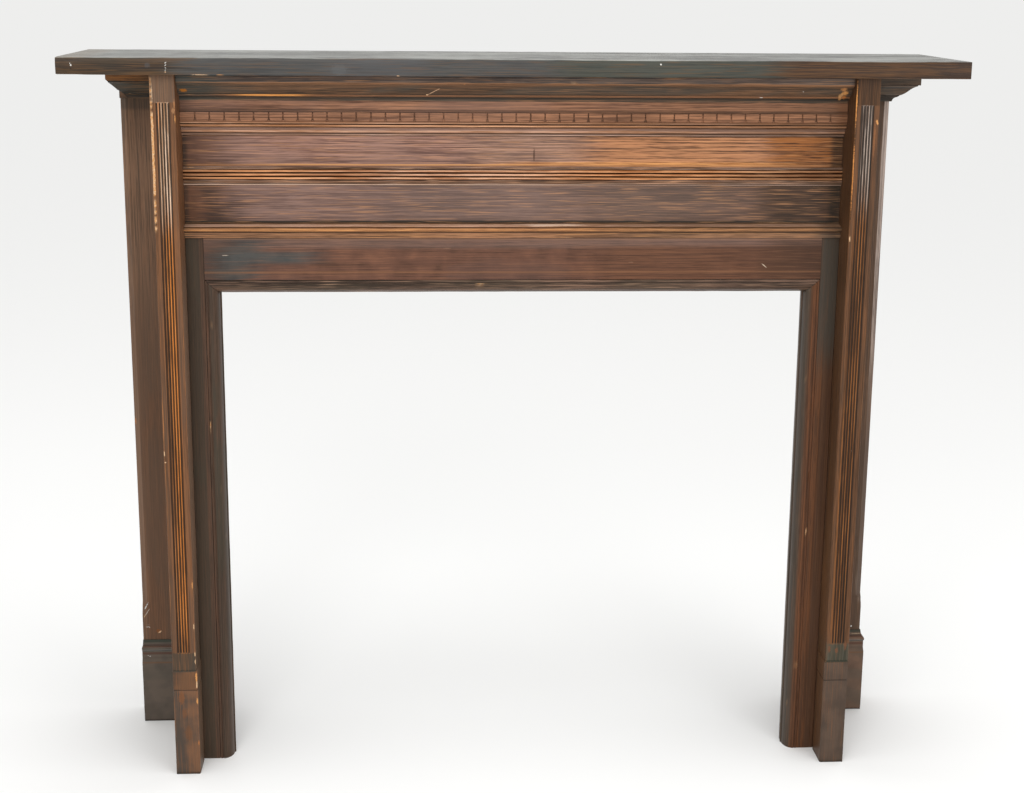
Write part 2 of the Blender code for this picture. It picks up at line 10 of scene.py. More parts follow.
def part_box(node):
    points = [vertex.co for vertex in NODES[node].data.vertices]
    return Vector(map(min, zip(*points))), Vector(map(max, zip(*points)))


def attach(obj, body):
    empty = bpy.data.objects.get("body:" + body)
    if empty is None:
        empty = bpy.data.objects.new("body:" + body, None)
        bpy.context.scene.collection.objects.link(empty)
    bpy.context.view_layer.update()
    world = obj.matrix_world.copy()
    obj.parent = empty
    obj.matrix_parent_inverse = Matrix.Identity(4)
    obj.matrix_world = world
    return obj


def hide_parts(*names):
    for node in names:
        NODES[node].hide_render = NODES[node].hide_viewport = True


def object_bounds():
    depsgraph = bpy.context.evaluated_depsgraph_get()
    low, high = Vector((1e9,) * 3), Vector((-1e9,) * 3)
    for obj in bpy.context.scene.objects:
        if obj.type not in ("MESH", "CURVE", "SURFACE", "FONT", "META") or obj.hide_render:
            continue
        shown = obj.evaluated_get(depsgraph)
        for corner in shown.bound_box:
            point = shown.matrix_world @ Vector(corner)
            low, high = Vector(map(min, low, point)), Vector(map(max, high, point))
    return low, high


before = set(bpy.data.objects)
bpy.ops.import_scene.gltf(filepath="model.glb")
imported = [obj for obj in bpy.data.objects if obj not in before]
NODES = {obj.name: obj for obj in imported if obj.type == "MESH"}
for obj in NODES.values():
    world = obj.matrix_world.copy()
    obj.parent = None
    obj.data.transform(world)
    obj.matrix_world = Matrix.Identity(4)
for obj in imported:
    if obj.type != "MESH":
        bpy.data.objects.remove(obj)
CAD_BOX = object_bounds()

# ---------------------------------------------------------------- tones
# Tints are linear red, green and blue in thousandths. The stains' windows, spots and faces are in millimetres, and
# the meshes in metres.
INK = (20, 16, 13)
UMBER = (45, 26, 15)
OLIVE = (40, 34, 22)
RUSSET = (135, 55, 26)
ORANGE = (430, 160, 42)
GOLD = (560, 260, 85)
TAN = (620, 400, 230)
PINK = (520, 360, 290)
CHALK = (620, 600, 560)
BROAD = "broad"
SHINE = 0.12

# Noises of the stain: features in each metre along and across the grain, detail, shift, distortion.
GRAIN = {
    "broad": (1.6, 40.0, 2.0, 3.1, 0.3),
    "line": (3.5, 600.0, 1.0, 7.7, 0.0),
    "fine": (12.0, 740.0, 1.0, 4.1, 0.0),
    "hair": (45.0, 900.0, 1.0, 1.3, 0.0),
    "cloud": (4.5, 15.0, 3.0, 5.9, 0.5),
    "stroke": (15.0, 760.0, 1.0, 9.4, 0.0),
}
CRUMB_SCALE, MOTTLE_SCALE = 430.0, 30.0
MIDDLE, SPREAD = 0.5, 0.072
GRAIN_HEIGHT = 0.0006

# Repeated windows of the stains and of painted light: low, high and softness.
UPPER_BAND, LOWER_BAND = (1094, 1160, 6), (970, 1066, 4)
SHELF_TOP = (1282.8, 1300, 0.4)
REEDED, REED_FOOT = (1073.7, 1092.3, 0.3), (1064, 1067.2, 0.4)
FLUTED, ABOVE_FLUTES = (240, 1040, 80), (1209, 1300, 1.2)
BEHIND_POST_FACE = (-138.5, 200, 1)
POST_SOLE = (-10, 4, 2)
BACK_OF_BOARD = ((36, 23, 15), (85, 53, 35))
QUIRK = ((56, 32, 21), (110, 52, 30))
REED_WEAR = ((288, 101, 26), (614, 255, 84))
REED_QUIRK = (29, 8, 2)


def thousandths(values):
    return [value / 1000 for value in values]


class Graph:
    """Short calls for building the nodes of one material."""

    def __init__(self, material):
        material.use_nodes = True
        self.tree = material.node_tree
        self.shader = self.tree.nodes["Principled BSDF"]
        self.place = self.tree.nodes.new("ShaderNodeTexCoord").outputs["Object"]
        self.axes = dict(zip("XYZ", self.make("ShaderNodeSeparateXYZ", {0: self.place}).outputs))
        marks = self.make("ShaderNodeAttribute", attribute_name="wear").outputs["Vector"]
        self.edge, self.groove, self.chip = self.make("ShaderNodeSeparateXYZ", {0: marks}).outputs

    def make(self, kind, inputs=(), **settings):
        node = self.tree.nodes.new(kind)
        for key, value in settings.items():
            setattr(node, key, value)
        for key, value in dict(inputs).items():
            if isinstance(value, bpy.types.NodeSocket):
                self.tree.links.new(value, node.inputs[key])
            else:
                node.inputs[key].default_value = value
        return node

    def maths(self, operation, first, second):
        return self.make("ShaderNodeMath", {0: first, 1: second}, operation=operation).outputs[0]

    def add(self, *terms):
        total = terms[0]
        for term in terms[1:]:
            total = self.maths("ADD", total, term)
        return total

    def times(self, first, second):
        return self.maths("MULTIPLY", first, second)

    def blend(self, *parts):
        """Sum of constants and of values with their shares."""
        return self.add(*(self.times(*part) if isinstance(part, tuple) else part for part in parts))

    def span(self, value, low, high, out_low=0.0, out_high=1.0):
        """Smooth step of a value between two limits."""
        inputs = {0: value, 1: low, 2: high, 3: out_low, 4: out_high}
        return self.make("ShaderNodeMapRange", inputs, interpolation_type="SMOOTHSTEP").outputs[0]

    def mix(self, factor, first, second):
        """Mix of two colours, each a socket or a tint."""
        inputs = {0: factor}
        for key, colour in ((6, first), (7, second)):
            is_socket = isinstance(colour, bpy.types.NodeSocket)
            inputs[key] = colour if is_socket else (*thousandths(colour), 1.0)
        return self.make("ShaderNodeMix", inputs, data_type="RGBA").outputs[2]

    def noise(self, scale, detail, shift, distortion=0.0):
        """Noise stretched by a scale for each axis, around 0.5."""
        inputs = {"Vector": self.place, "Scale": scale, "Location": (shift, shift, shift)}
        mapped = self.make("ShaderNodeMapping", inputs)
        inputs = {"Vector": mapped.outputs[0], "Scale": 1.0, "Detail": detail, "Distortion": distortion}
        return self.make("ShaderNodeTexNoise", inputs).outputs[0]

    def window(self, letter, limits):
        """1 between two places on an axis, fading out over a softness with a wavering edge."""
        low, high, soft = thousandths(limits)
        place = self.add(self.axes[letter], self.tight if soft < 0.01 else self.loose)
        rise = self.span(place, low - soft, low + soft)
        fall = self.span(place, high - soft, high + soft, 1.0, 0.0)
        return self.times(rise, fall)

    def spot(self, colour, face, x, z, width, height, tint, strength=0.9, turn=0.0):
        """The colour with a small mark on a piece's front; face is its depth and how deep the mark reaches."""
        place, size = thousandths((x, face[0], z)), thousandths((width, face[1], height))
        inputs = {"Vector": self.place, "Location": place, "Rotation": (0.0, math.radians(turn), 0.0), "Scale": size}
        local = self.make("ShaderNodeMapping", inputs, vector_type="TEXTURE").outputs[0]
        reach = self.make("ShaderNodeVectorMath", {0: local}, operation="LENGTH").outputs["Value"]
        inside = self.span(self.add(reach, self.ragged), 0.55, 1.0, 1.0, 0.0)
        return self.mix(self.times(inside, strength), colour, tint)


def zone(tint, strength, **windows):
    """A tint inside windows such as Z=(low, high, softness).

    Two tints stand for streaks of a dark and a light one, and the pair with
    BROAD after it for clouds.
    """
    return tint, strength, windows


def wood(name, axis, dark, body, bright, patch=OLIVE, patchy=0.5, zones=(), spots=(), worn=ORANGE, wear=0.5,
         bare=0.0, pale=0.0, grime=0.8, deep=INK, rough=0.42, dash=None, dashes=0.5, contrast=1.0, smooth=0.0,
         shine=SHINE, shift=0.0, face=(0, 1000)):
    """Stained softwood. Grain runs along axis; dark, body and bright are its three tones.

    patch tints broad areas, dash is the tint of short bright strokes, deep that of
    the grooves, zones tint parts of the piece and spots are single marks on its
    front, as x, z, width, height, tint, strength and turn in degrees. wear is how
    far the arrises are rubbed, bare how far the plain faces are, and pale how much
    painted highlight, a whitish sheen, is put on the most convex places. contrast
    sharpens the grain and smooth turns it into soft mottling. shift moves all the
    noises of a piece.
    """
    material = bpy.data.materials.new(name)
    g = Graph(material)
    broad, line, fine, hair, cloud, stroke = (
        g.noise([along if letter == axis else across for letter in "XYZ"], detail, shift + own, distortion)
        for along, across, detail, own, distortion in GRAIN.values()
    )
    crumb = g.noise((CRUMB_SCALE,) * 3, 1.0, shift + 2.2)
    mottle = g.noise((MOTTLE_SCALE,) * 3, 2.0, shift + 6.6)
    g.loose = g.times(g.add(cloud, fine, -1.0), 0.1)
    g.tight = g.times(g.add(line, cloud, -1.0), 0.0014)
    g.ragged = g.times(g.add(crumb, -0.5), 1.1)
    tone = g.blend((broad, 0.28), (line, 0.3), (fine, 0.26), (hair, 0.16))
    tone = g.blend((tone, 1.0 - smooth), (mottle, smooth))
    colour = g.mix(g.span(tone, MIDDLE - SPREAD / contrast, MIDDLE), dark, body)
    colour = g.mix(g.span(tone, MIDDLE, MIDDLE + SPREAD / contrast), colour, bright)
    colour = g.mix(g.times(g.span(cloud, 0.46, 0.6), patchy), colour, patch)
    grained = g.blend((line, 0.32), (fine, 0.26), (hair, 0.16), (cloud, 0.26))
    clouded = g.blend((cloud, 0.45), (broad, 0.2), (mottle, 0.35))
    streaks = {2: g.span(grained, 0.44, 0.56), 3: g.span(clouded, 0.42, 0.58)}
    for tint, strength, windows in zones:
        factor = strength
        for letter, limits in windows.items():
            factor = g.times(g.window(letter, limits), factor)
        if isinstance(tint[0], tuple):
            tint = g.mix(streaks[len(tint)], tint[0], tint[1])
        colour = g.mix(factor, colour, tint)
    if dash:
        colour = g.mix(g.times(g.span(stroke, 0.57, 0.68), dashes), colour, dash)
    colour = g.mix(g.times(g.span(stroke, 0.42, 0.32), 0.8 * dashes), colour, dark)
    rubbed = g.blend((g.edge, 0.62 * wear), (fine, 0.6), (cloud, 0.4), bare * 0.3, -0.78)
    rubbed = g.times(g.span(rubbed, 0.0, 0.2), min(1.0, wear + bare))
    rubbed_tone = g.mix(g.span(hair, 0.38, 0.62), worn, [0.55 * part for part in worn])
    colour = g.mix(rubbed, colour, rubbed_tone)
    # Painted highlight: a whitish sheen on the most convex places, in patches.
    if pale:
        high = g.span(g.add(cloud, g.times(stroke, 0.5)), 0.68, 0.84)
        painted_highlight = g.times(g.span(g.edge, 0.55, 0.95), high)
        colour = g.mix(g.times(painted_highlight, pale), colour, PINK)
    colour = g.mix(g.times(g.span(g.groove, 0.04, 0.36), grime), colour, deep)
    raw = g.mix(g.span(crumb, 0.4, 0.6), GOLD, TAN)
    colour = g.mix(g.chip, colour, raw)
    for spot in spots:
        colour = g.spot(colour, face, *spot)
    gloss = g.blend((cloud, 0.2), (fine, 0.14), (rubbed, 0.12), rough - 0.17)
    height = g.blend((line, 0.4), (fine, 0.3), (hair, 0.3))
    bump = g.make("ShaderNodeBump", {"Height": height, "Strength": 0.5, "Distance": GRAIN_HEIGHT})
    g.tree.links.new(colour, g.shader.inputs["Base Color"])
    g.tree.links.new(gloss, g.shader.inputs["Roughness"])
    g.tree.links.new(bump.outputs[0], g.shader.inputs["Normal"])
    g.shader.inputs["Specular IOR Level"].default_value = shine
    return material


# ---------------------------------------------------------------- meshes
CELLS = 128
WELD, FLAT, SHARP = 0.000002, math.radians(0.5), math.radians(48)
UNEVEN, RUB, CHIP_DEPTH = 0.00016, 0.00035, 0.0009


def lattice(u, v, seed):
    """Smooth noise from 0 to 1 over a plane, which repeats after CELLS."""
    table = np.random.RandomState(seed).rand(CELLS, CELLS)
    u, v = np.broadcast_arrays(np.asarray(u, float), np.asarray(v, float))
    column, row = np.floor(u).astype(int), np.floor(v).astype(int)
    a, b = u - column, v - row
    a, b = a * a * (3 - 2 * a), b * b * (3 - 2 * b)

    def at(i, j):
        return table[(column + i) % CELLS, (row + j) % CELLS]

    return (at(0, 0) * (1 - a) + at(1, 0) * a) * (1 - b) + (at(0, 1) * (1 - a) + at(1, 1) * a) * b


def step_up(value, low, high):
    """Smooth step of an array from 0 at low to 1 at high."""
    t = np.clip((value - low) / (high - low), 0, 1)
    return t * t * (3 - 2 * t)


def skin(node, points, marks, material):
    """One closed piece from a stack of rings, with its wear marks. It stands for a CAD node."""
    count, around = points.shape[:2]
    index = np.arange(count * around).reshape(count, around)
    ahead = np.roll(index, -1, axis=1)
    faces = np.stack([index[:-1], ahead[:-1], ahead[1:], index[1:]], axis=-1).reshape(-1, 4).tolist()
    faces += [index[0, ::-1].tolist(), index[-1].tolist()]
    mesh = bpy.data.meshes.new(node + "_aged")
    mesh.from_pydata(points.reshape(-1, 3).tolist(), [], faces)
    held = mesh.attributes.new("wear", "FLOAT_VECTOR", "POINT")
    held.data.foreach_set("vector", marks.reshape(-1).astype(np.float32))
    mesh.polygons.foreach_set("use_smooth", [True] * len(mesh.polygons))
    mesh.set_sharp_from_angle(angle=SHARP)
    mesh.materials.append(material)
    piece = bpy.data.objects.new(node + "_aged", mesh)
    bpy.context.scene.collection.objects.link(piece)
    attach(piece, "root")
    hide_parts(node)
    return piece


def clean_shape(node):
    """A CAD node's mesh without doubled corners and flat seams."""
    shape = bmesh.new()
    shape.from_mesh(NODES[node].data)
    bmesh.ops.remove_doubles(shape, verts=shape.verts, dist=WELD)
    bmesh.ops.dissolve_limit(shape, angle_limit=FLAT, verts=shape.verts, edges=shape.edges)
    return shape


def runs_back(ring, along):
    """Whether a section's corners run the wrong way round."""
    return np.cross(ring, np.roll(ring, -1, axis=0)).sum(0) @ along < 0


def cap_rings(node):
    """Matching corners of the two ends of a straight piece, in order round its section."""
    shape = clean_shape(node)
    first, last = sorted(shape.faces, key=lambda face: len(face.verts))[-2:]
    far = set(last.verts)
    start, end = [], []
    for corner in first.verts:
        for link in corner.link_edges:
            other = link.other_vert(corner)
            if other in far:
                start.append(corner.co.copy())
                end.append(other.co.copy())
                break
    shape.free()
    return np.array(start), np.array(end)


def box_rings(node, axis):
    """The two end rectangles of a board whose grain runs along axis."""
    low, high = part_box(node)
    i = "XYZ".index(axis)
    j, k = (i + 1) % 3, (i + 2) % 3
    ring = []
    for a, b in ((low[j], low[k]), (high[j], low[k]), (high[j], high[k]), (low[j], high[k])):
        point = [0.0, 0.0, 0.0]
        point[i], point[j], point[k] = low[i], a, b
        ring.append(point)
    start = np.array(ring)
    end = start.copy()
    end[:, i] = high[i]
    return start, end


def refine(corners, ease, step):
    """Rows of weights that turn a section's corners into a finer one with eased arrises."""
    own = np.eye(len(corners))
    rows = []
    for i in range(len(corners)):
        j = (i + 1) % len(corners)
        into, out = corners[i] - corners[i - 1], corners[j] - corners[i]
        to_back, to_ahead = np.linalg.norm(into), np.linalg.norm(out)
        turn = math.degrees(math.acos(np.clip(into @ out / (to_back * to_ahead), -1, 1)))
        cut = min(ease, 0.4 * to_back, 0.4 * to_ahead)
        if turn < 10 or cut < 0.00005:
            rows.append(own[i])
            continue
        first = own[i] + (own[i - 1] - own[i]) * cut / to_back
        last = own[i] + (own[j] - own[i]) * cut / to_ahead
        rows += [first, (first + 2 * own[i] + last) / 4, last]
    finer = []
    for i, row in enumerate(rows):
        change = rows[(i + 1) % len(rows)] - row
        parts = max(1, math.ceil(np.linalg.norm(change @ corners) / step))
        finer += [row + change * k / parts for k in range(parts)]
    return np.array(finer)


def bends(ring, along, reach):
    """How convex and how hollow each point of a section is, its outward direction and its place round it."""
    ahead = np.roll(ring, -1, axis=0) - ring
    back = np.roll(ahead, 1, axis=0)
    lengths = np.linalg.norm(ahead, axis=1)
    turn = np.arctan2(np.cross(back, ahead) @ along, (back * ahead).sum(1))
    place = np.concatenate([[0], np.cumsum(lengths)[:-1]])
    gap = np.abs(place[:, None] - place[None, :])
    gap = np.minimum(gap, lengths.sum() - gap)
    bend = np.clip(1 - gap / reach, 0, 1) @ turn / math.radians(60)
    tangent = ahead / lengths[:, None] + back / np.roll(lengths, 1)[:, None]
    out = np.cross(tangent, along)
    out /= np.linalg.norm(out, axis=1)[:, None]
    return np.clip(bend, 0, 1), np.clip(-bend, 0, 1), out, place


def dress(node, material, seed, ends=None, ease=0.0006, step=0.01, pitch=0.01, chips=1.0, reach=0.0022, extra=None):
    """A straight piece again, with eased and slightly uneven arrises and small chips."""
    start, end = ends if ends else cap_rings(node)
    lengthwise = end - start
    along = lengthwise[np.argmax(np.linalg.norm(lengthwise, axis=1))]
    length = np.linalg.norm(along)
    along = along / length
    if runs_back(start, along):
        start, end = start[::-1], end[::-1]
    flat = start - np.outer(start @ along, along)
    weights = refine(flat, ease, step)
    edge, groove, out, place = bends(weights @ flat, along, reach)
    start, end = weights @ start, weights @ end
    count = max(4, math.ceil(length / pitch) + 1)
    stations = np.linspace(0, 1, count)
    points = start[None] + (end - start)[None] * stations[:, None, None]
    run = stations[:, None] * length
    uneven = UNEVEN * lattice(run / 0.055, place[None] / 0.011, seed)
    rubbed = edge[None] * RUB * lattice(run / 0.024, place[None] / 0.006, seed + 1)
    chip = edge[None] * step_up(lattice(run / 0.009, place[None] / 0.006, seed + 2), 0.95 - 0.04 * chips, 0.995)
    chip = chip * (chips > 0)
    amount = uneven + rubbed + CHIP_DEPTH * chip
    if extra:
        more, more_chip = extra(points, edge[None] + 0 * run)
        amount, chip = amount + more, np.maximum(chip, more_chip)
    points = points - out[None] * amount[:, :, None]
    marks = np.stack([edge[None] + 0 * run, groove[None] + 0 * run, np.clip(chip * 1.2, 0, 1)], axis=-1)
    return skin(node, points, marks, material)


def rings_upright(outline, heights, side):
    """Stacks outlines, given for x on the right-hand side, mirrored for the left."""
    points = np.empty((len(heights), len(outline(heights[0])[0]), 3))
    marks = np.empty_like(points)
    for i, height in enumerate(heights):
        plan, mark = outline(height)
        points[i, :, 0] = plan[:, 0] * side
        points[i, :, 1] = plan[:, 1]
        points[i, :, 2] = height
        marks[i] = mark
    if side < 0:
        points, marks = points[:, ::-1], marks[:, ::-1]
    return points, marks


# ---------------------------------------------------------------- post
FLUTES, FLUTE_PITCH, FLUTE_RADIUS = 5, 0.00485, 0.00165
FLUTE_LOW, FLUTE_HIGH = 0.234, 1.209
BLOCK_TOP, BLOCK_PROUD = 0.2, 0.0018
GROOVE_Z, GROOVE_HALF, GROOVE_DEPTH = 0.163, 0.0014, 0.0014
RIM = 0.002
CORNER = {"chip1": (1.0, 0.0), "chip2": (0.62, 0.1), "chip3": (0.3, 0.34), "chip4": (0.1, 0.62), "chip5": (0.0, 1.0)}


def post(side, word, material, chipped, seed):
    """Fluted post with its foot block; the left one has a splintered outer arris."""
    node = "post_" + word
    low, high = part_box(node)
    inner, outer = sorted((abs(low.x), abs(high.x)))
    inner += BLOCK_PROUD
    front, back = low.y + BLOCK_PROUD, high.y
    width, depth = outer - inner, back - front
    leg_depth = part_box("leg_board_" + word)[0].y - front
    top = high.z
    across, deep, kind = [0.0, 0.0004], [0.0012, 0.0004], ["inner", "inner"]

    def front_point(a, b, what):
        across.append(a)
        deep.append(b)
        kind.append(what)

    first_flute = width / 2 - (FLUTES - 1) / 2 * FLUTE_PITCH - FLUTE_RADIUS
    for a in np.linspace(0.0012, first_flute - 0.0012, 4):
        front_point(a, 0.0, "margin")
    for i in range(FLUTES):
        centre = width / 2 + (i - (FLUTES - 1) / 2) * FLUTE_PITCH
        for share in (-1.0, -0.85, -0.5, 0.0, 0.5, 0.85, 1.0):
            front_point(centre + share * FLUTE_RADIUS, math.sqrt(1 - share * share) * FLUTE_RADIUS, "flute")
        if i < FLUTES - 1:
            front_point(centre + FLUTE_PITCH / 2, 0.0, "ridge")
    for a in np.linspace(width - first_flute + 0.0012, width - 0.005, 3):
        front_point(a, 0.0, "margin")
    for what in CORNER:
        front_point(width, 0.0, what)
    for b in np.linspace(0.0075, depth - 0.002, 11):
        front_point(width, b, "outside")
    for a in (width, width / 2, 0.0):
        front_point(a, depth, "back")
    for b in list(np.linspace(depth - 0.006, leg_depth, 4)) + [leg_depth - 0.0006]:
        front_point(0.0, b, "inside_back")
    for b in np.linspace(leg_depth - 0.006, 0.003, 8):
        front_point(0.0, b, "inside")
    across, deep, kind = np.array(across), np.array(deep), np.array(kind)
    is_front = np.isin(kind, ("margin", "flute", "ridge")) | np.char.startswith(kind, "chip")
    is_inner = np.isin(kind, ("inner", "inside"))
    chip_at = [int(np.where(kind == what)[0][0]) for what in CORNER]

    def outline(z):
        a, b = across.copy(), deep.copy()
        fluted = step_up(z, FLUTE_LOW, FLUTE_LOW + RIM) * (1 - step_up(z, FLUTE_HIGH - RIM, FLUTE_HIGH))
        b[kind == "flute"] *= fluted
        proud = BLOCK_PROUD * (1 - step_up(z, BLOCK_TOP - RIM, BLOCK_TOP))
        proud -= GROOVE_DEPTH * max(0.0, 1 - abs(z - GROOVE_Z) / GROOVE_HALF)
        a[is_inner] -= proud
        b[kind == "inner"] -= proud * np.array([0.6, 0.9])
        a[is_front] -= proud * (1 - a[is_front] / width)
        b[is_front] -= proud
        rough = lattice(z / 0.0042, 0.0, seed) * 0.6 + lattice(z / 0.0015, 3.0, seed + 5) * 0.4
        bite = 0.0012 + 0.0007 * lattice(z / 0.02, 8.0, seed + 9)
        torn = chipped(z)
        bite += torn * (0.0008 + 0.0044 * rough)
        for i, (share_a, share_b) in zip(chip_at, CORNER.values()):
            jitter = torn * 0.0006 * (lattice(z / 0.0022, i * 1.7, seed + 2) - 0.5)
            a[i] = width - bite * share_a * 1.05 - abs(jitter)
            b[i] = bite * share_b * 0.9 + abs(jitter) - (proud if share_b < 0.5 else 0.0)
        soft = 0.0009 * lattice(z / 0.017, 5.0, seed + 3) ** 2
        a[0:2] += soft * 0.5
        b[0:2] += soft * 0.5
        settle = UNEVEN * lattice(z / 0.06, across / 0.009, seed + 4)
        b[is_front] += settle[is_front]
        edge = np.zeros(len(a))
        edge[kind == "inner"] = 1.0
        edge[kind == "ridge"] = 0.95 * fluted
        rims = (kind == "flute") & (deep < 0.4 * FLUTE_RADIUS)
        edge[rims] = 0.45 * fluted
        edge[chip_at] = 0.9
        groove = np.where((kind == "flute") & ~rims, 0.8 * fluted, 0.0)
        notch = max(0.0, 1 - abs(z - GROOVE_Z) / (2 * GROOVE_HALF))
        groove[is_front | is_inner] = np.maximum(groove[is_front | is_inner], 0.24 * notch)
        chip = np.zeros(len(a))
        chip[chip_at] = step_up(torn * (0.5 + rough), 0.35, 0.6)
        plan = np.stack([inner + a, front + b], axis=-1)
        return plan, np.stack([edge, groove, chip], axis=-1)

    marked = [BLOCK_TOP - RIM, BLOCK_TOP, GROOVE_Z - GROOVE_HALF, GROOVE_Z, GROOVE_Z + GROOVE_HALF]
    marked += [FLUTE_LOW, FLUTE_LOW + RIM, FLUTE_HIGH - RIM, FLUTE_HIGH]
    heights = sorted(set(np.round(np.concatenate([np.arange(0.0, top, 0.0032), marked, [top]]), 5)))
    points, marks = rings_upright(outline, heights, side)
    return skin(node, points, marks, material)


# ---------------------------------------------------------------- wing board
CHAMFER, STOP_FOOT, STOP_HEIGHT = 0.011, 0.209, 0.039
SQUARE = 0.0005


def wing_board(side, word, material, seed):
    """Board with a chamfered corner that runs out in a lamb's tongue above the base."""
    node = "wing_board_" + word
    low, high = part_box(node)
    inner, outer = sorted((abs(low.x), abs(high.x)))
    crown_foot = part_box("wing_crown_front_" + word)[0].z
    faces = np.linspace(0, 1, 9)[:-1]

    def outline(z):
        along = np.clip((z - STOP_FOOT) / STOP_HEIGHT, 0, 1)
        rise = along - math.sin(2 * math.pi * along) / (2 * math.pi)
        size = SQUARE + (CHAMFER - SQUARE) * rise
        size -= 0.0022 * math.exp(-((along - 0.62) / 0.1) ** 2)
        size += 0.0006 * (lattice(z / 0.03, 1.0, seed) - 0.5) * rise
        if z > crown_foot:
            size = SQUARE
        plan = [(inner + (outer - size - inner) * t, low.y) for t in faces]
        marks = [(0.0, 0.5 * (1 - min(1.0, i)), 0.0) for i in range(len(faces))]
        for t in (0.0, 0.06, 0.5, 0.94, 1.0):
            plan.append((outer - size * (1 - t), low.y + size * t))
            marks.append((0.8 if t in (0.0, 1.0) else 0.25, 0.0, 0.0))
        plan += [(outer, high.y), (inner, high.y)]
        marks += [(0.3, 0.0, 0.0), (0.0, 0.3, 0.0)]
        plan = np.array(plan)
        plan[: len(faces), 1] += 0.00025 * lattice(z / 0.07, plan[: len(faces), 0] / 0.02, seed + 1)
        return plan, np.array(marks)

    at_stop = np.arange(STOP_FOOT - 0.002, STOP_FOOT + STOP_HEIGHT + 0.002, 0.002)
    heights = [np.arange(0, high.z, 0.012), at_stop, [crown_foot, crown_foot + SQUARE, high.z]]
    heights = sorted(set(np.round(np.concatenate(heights), 5)))
    points, marks = rings_upright(outline, heights, side)
    return skin(node, points, marks, material)


# ---------------------------------------------------------------- dentils
DENTIL_PITCH, DENTIL_FOOT, DENTIL_TOP, DENTIL_PROUD = 0.02478, 1.1751, 1.1905, 0.0022
KERF_SHIFT, KERF_HALF, KERF_FOOT_HALF, KERF_FOOT_HEIGHT = -0.0022, 0.0009, 0.0028, 0.003
KERF_UNDERCUT, KERF_RIM, KERF_STRAY = 0.0005, 0.0004, 0.0004


def dentil_moulding(material, seed):
    """Bed moulding with saw kerfs between its dentils."""
    node = "dentil_moulding"
    low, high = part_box(node)
    shape = clean_shape(node)
    cap = max((f for f in shape.faces if f.normal.x < -0.9), key=lambda f: len(f.verts))
    start = np.array([corner.co.copy() for corner in cap.verts])
    shape.free()
    along = np.array([1.0, 0.0, 0.0])
    if runs_back(start, along):
        start = start[::-1]
    start[:, 0] = 0.0
    section = refine(start, 0.0005, 0.006) @ start
    edge, groove, out, place = bends(section, along, 0.0009)
    fascia = low.y + DENTIL_PROUD
    height = section[:, 2]
    on_dentil = (section[:, 1] < fascia - 0.0003) & (height < DENTIL_TOP + 0.0002) & (height > DENTIL_FOOT - 0.0006)
    flare = np.clip(1 - (height - DENTIL_FOOT) / KERF_FOOT_HEIGHT, 0, 1)
    half = KERF_HALF + (KERF_FOOT_HALF - KERF_HALF) * flare
    pairs = int((high.x - DENTIL_PITCH / 2) / DENTIL_PITCH)
    kerfs = [KERF_SHIFT + i * DENTIL_PITCH for i in range(-pairs, pairs + 1)]
    rows, cut = [np.full(len(section), low.x)], [False]
    random = np.random.RandomState(seed)
    for kerf in kerfs:
        kerf += random.uniform(-KERF_STRAY, KERF_STRAY)
        rows += [kerf - half - KERF_RIM, kerf - half, kerf + half, kerf + half + KERF_RIM]
        cut += [False, True, True, False]
        for share in (0.25, 0.5, 0.75):
            middle = kerf + DENTIL_PITCH * share
            if middle < high.x - 0.004:
                rows.append(np.full(len(section), middle))
                cut.append(False)
    rows.append(np.full(len(section), high.x))
    cut.append(False)
    run = np.array(rows)
    points = np.repeat(section[None], len(rows), axis=0)
    points[:, :, 0] = run
    uneven = 0.0002 * lattice(run / 0.05, place[None] / 0.011, seed)
    uneven += edge[None] * 0.0004 * lattice(run / 0.02, place[None] / 0.006, seed + 1)
    points -= out[None] * uneven[:, :, None]
    inside = np.array(cut)[:, None] & on_dentil[None]
    points[inside, 1] = fascia + KERF_UNDERCUT
    points[:, :, 0] = run
    marks = np.stack([edge[None] + 0 * run, groove[None] + 0 * run, 0 * run], axis=-1)
    beside = (np.roll(inside, 1, axis=0) | np.roll(inside, -1, axis=0)) & ~inside
    marks[beside, 0] = lattice(run[beside] / 0.031, 4.0, seed + 3)
    marks[inside] = (0.0, 0.0, 0.0)
    marks[:, :, 1][inside] = (0.1 + 0.2 * lattice(run / 0.02, 7.0, seed + 4))[inside]
    return skin(node, points, marks, material)


# ---------------------------------------------------------------- the pieces
def shelf_wear(points, edge):
    """Ragged back edge and a rubbed front arris."""
    x, y = points[:, :, 0], points[:, :, 1]
    back = CAD_BOX[1].y
    ragged = lattice(x / 0.045, 2.0, 31) * 0.6 + lattice(x / 0.009, 5.0, 32) * 0.4
    at_back = step_up(y, back - 0.003, back - 0.0004) * ragged * 0.002
    corner = edge * (1 - step_up(x, CAD_BOX[0].x + 0.004, CAD_BOX[0].x + 0.06)) * 0.0016
    return at_back + corner, edge * 0


def broken_return(points, edge):
    """Wear on the left wing's crown, which has lost the lower part of its end."""
    x = points[:, :, 0]
    near = 1 - step_up(x, -0.716, -0.7)
    ragged = lattice(points[:, :, 2] / 0.006, points[:, :, 1] / 0.02, 41)
    return near * edge * (0.0002 + 0.0008 * ragged), near * edge * step_up(ragged, 0.62, 0.75) * 0.6


BREAK_X, BREAK_Z, BREAK_SLOPE, BREAK_TOP, RETURN_BREAK = -0.7172, 1.2305, 0.98, 1.233, 1.215


def break_off(piece, wing_side, lowest):
    """Cuts the end of the left crown back to the slanting line that it broke along."""
    for vertex in piece.data.vertices:
        x, y, z = vertex.co
        ragged = float(lattice(z / 0.004, y / 0.006, 43))
        vertex.co.z = z = max(z, lowest + 0.001 * ragged)
        line = BREAK_X + max(0.0, BREAK_Z - z) * BREAK_SLOPE + 0.0014 * ragged
        if z < BREAK_TOP and x < line:
            vertex.co.x = max(x, min(line, wing_side))


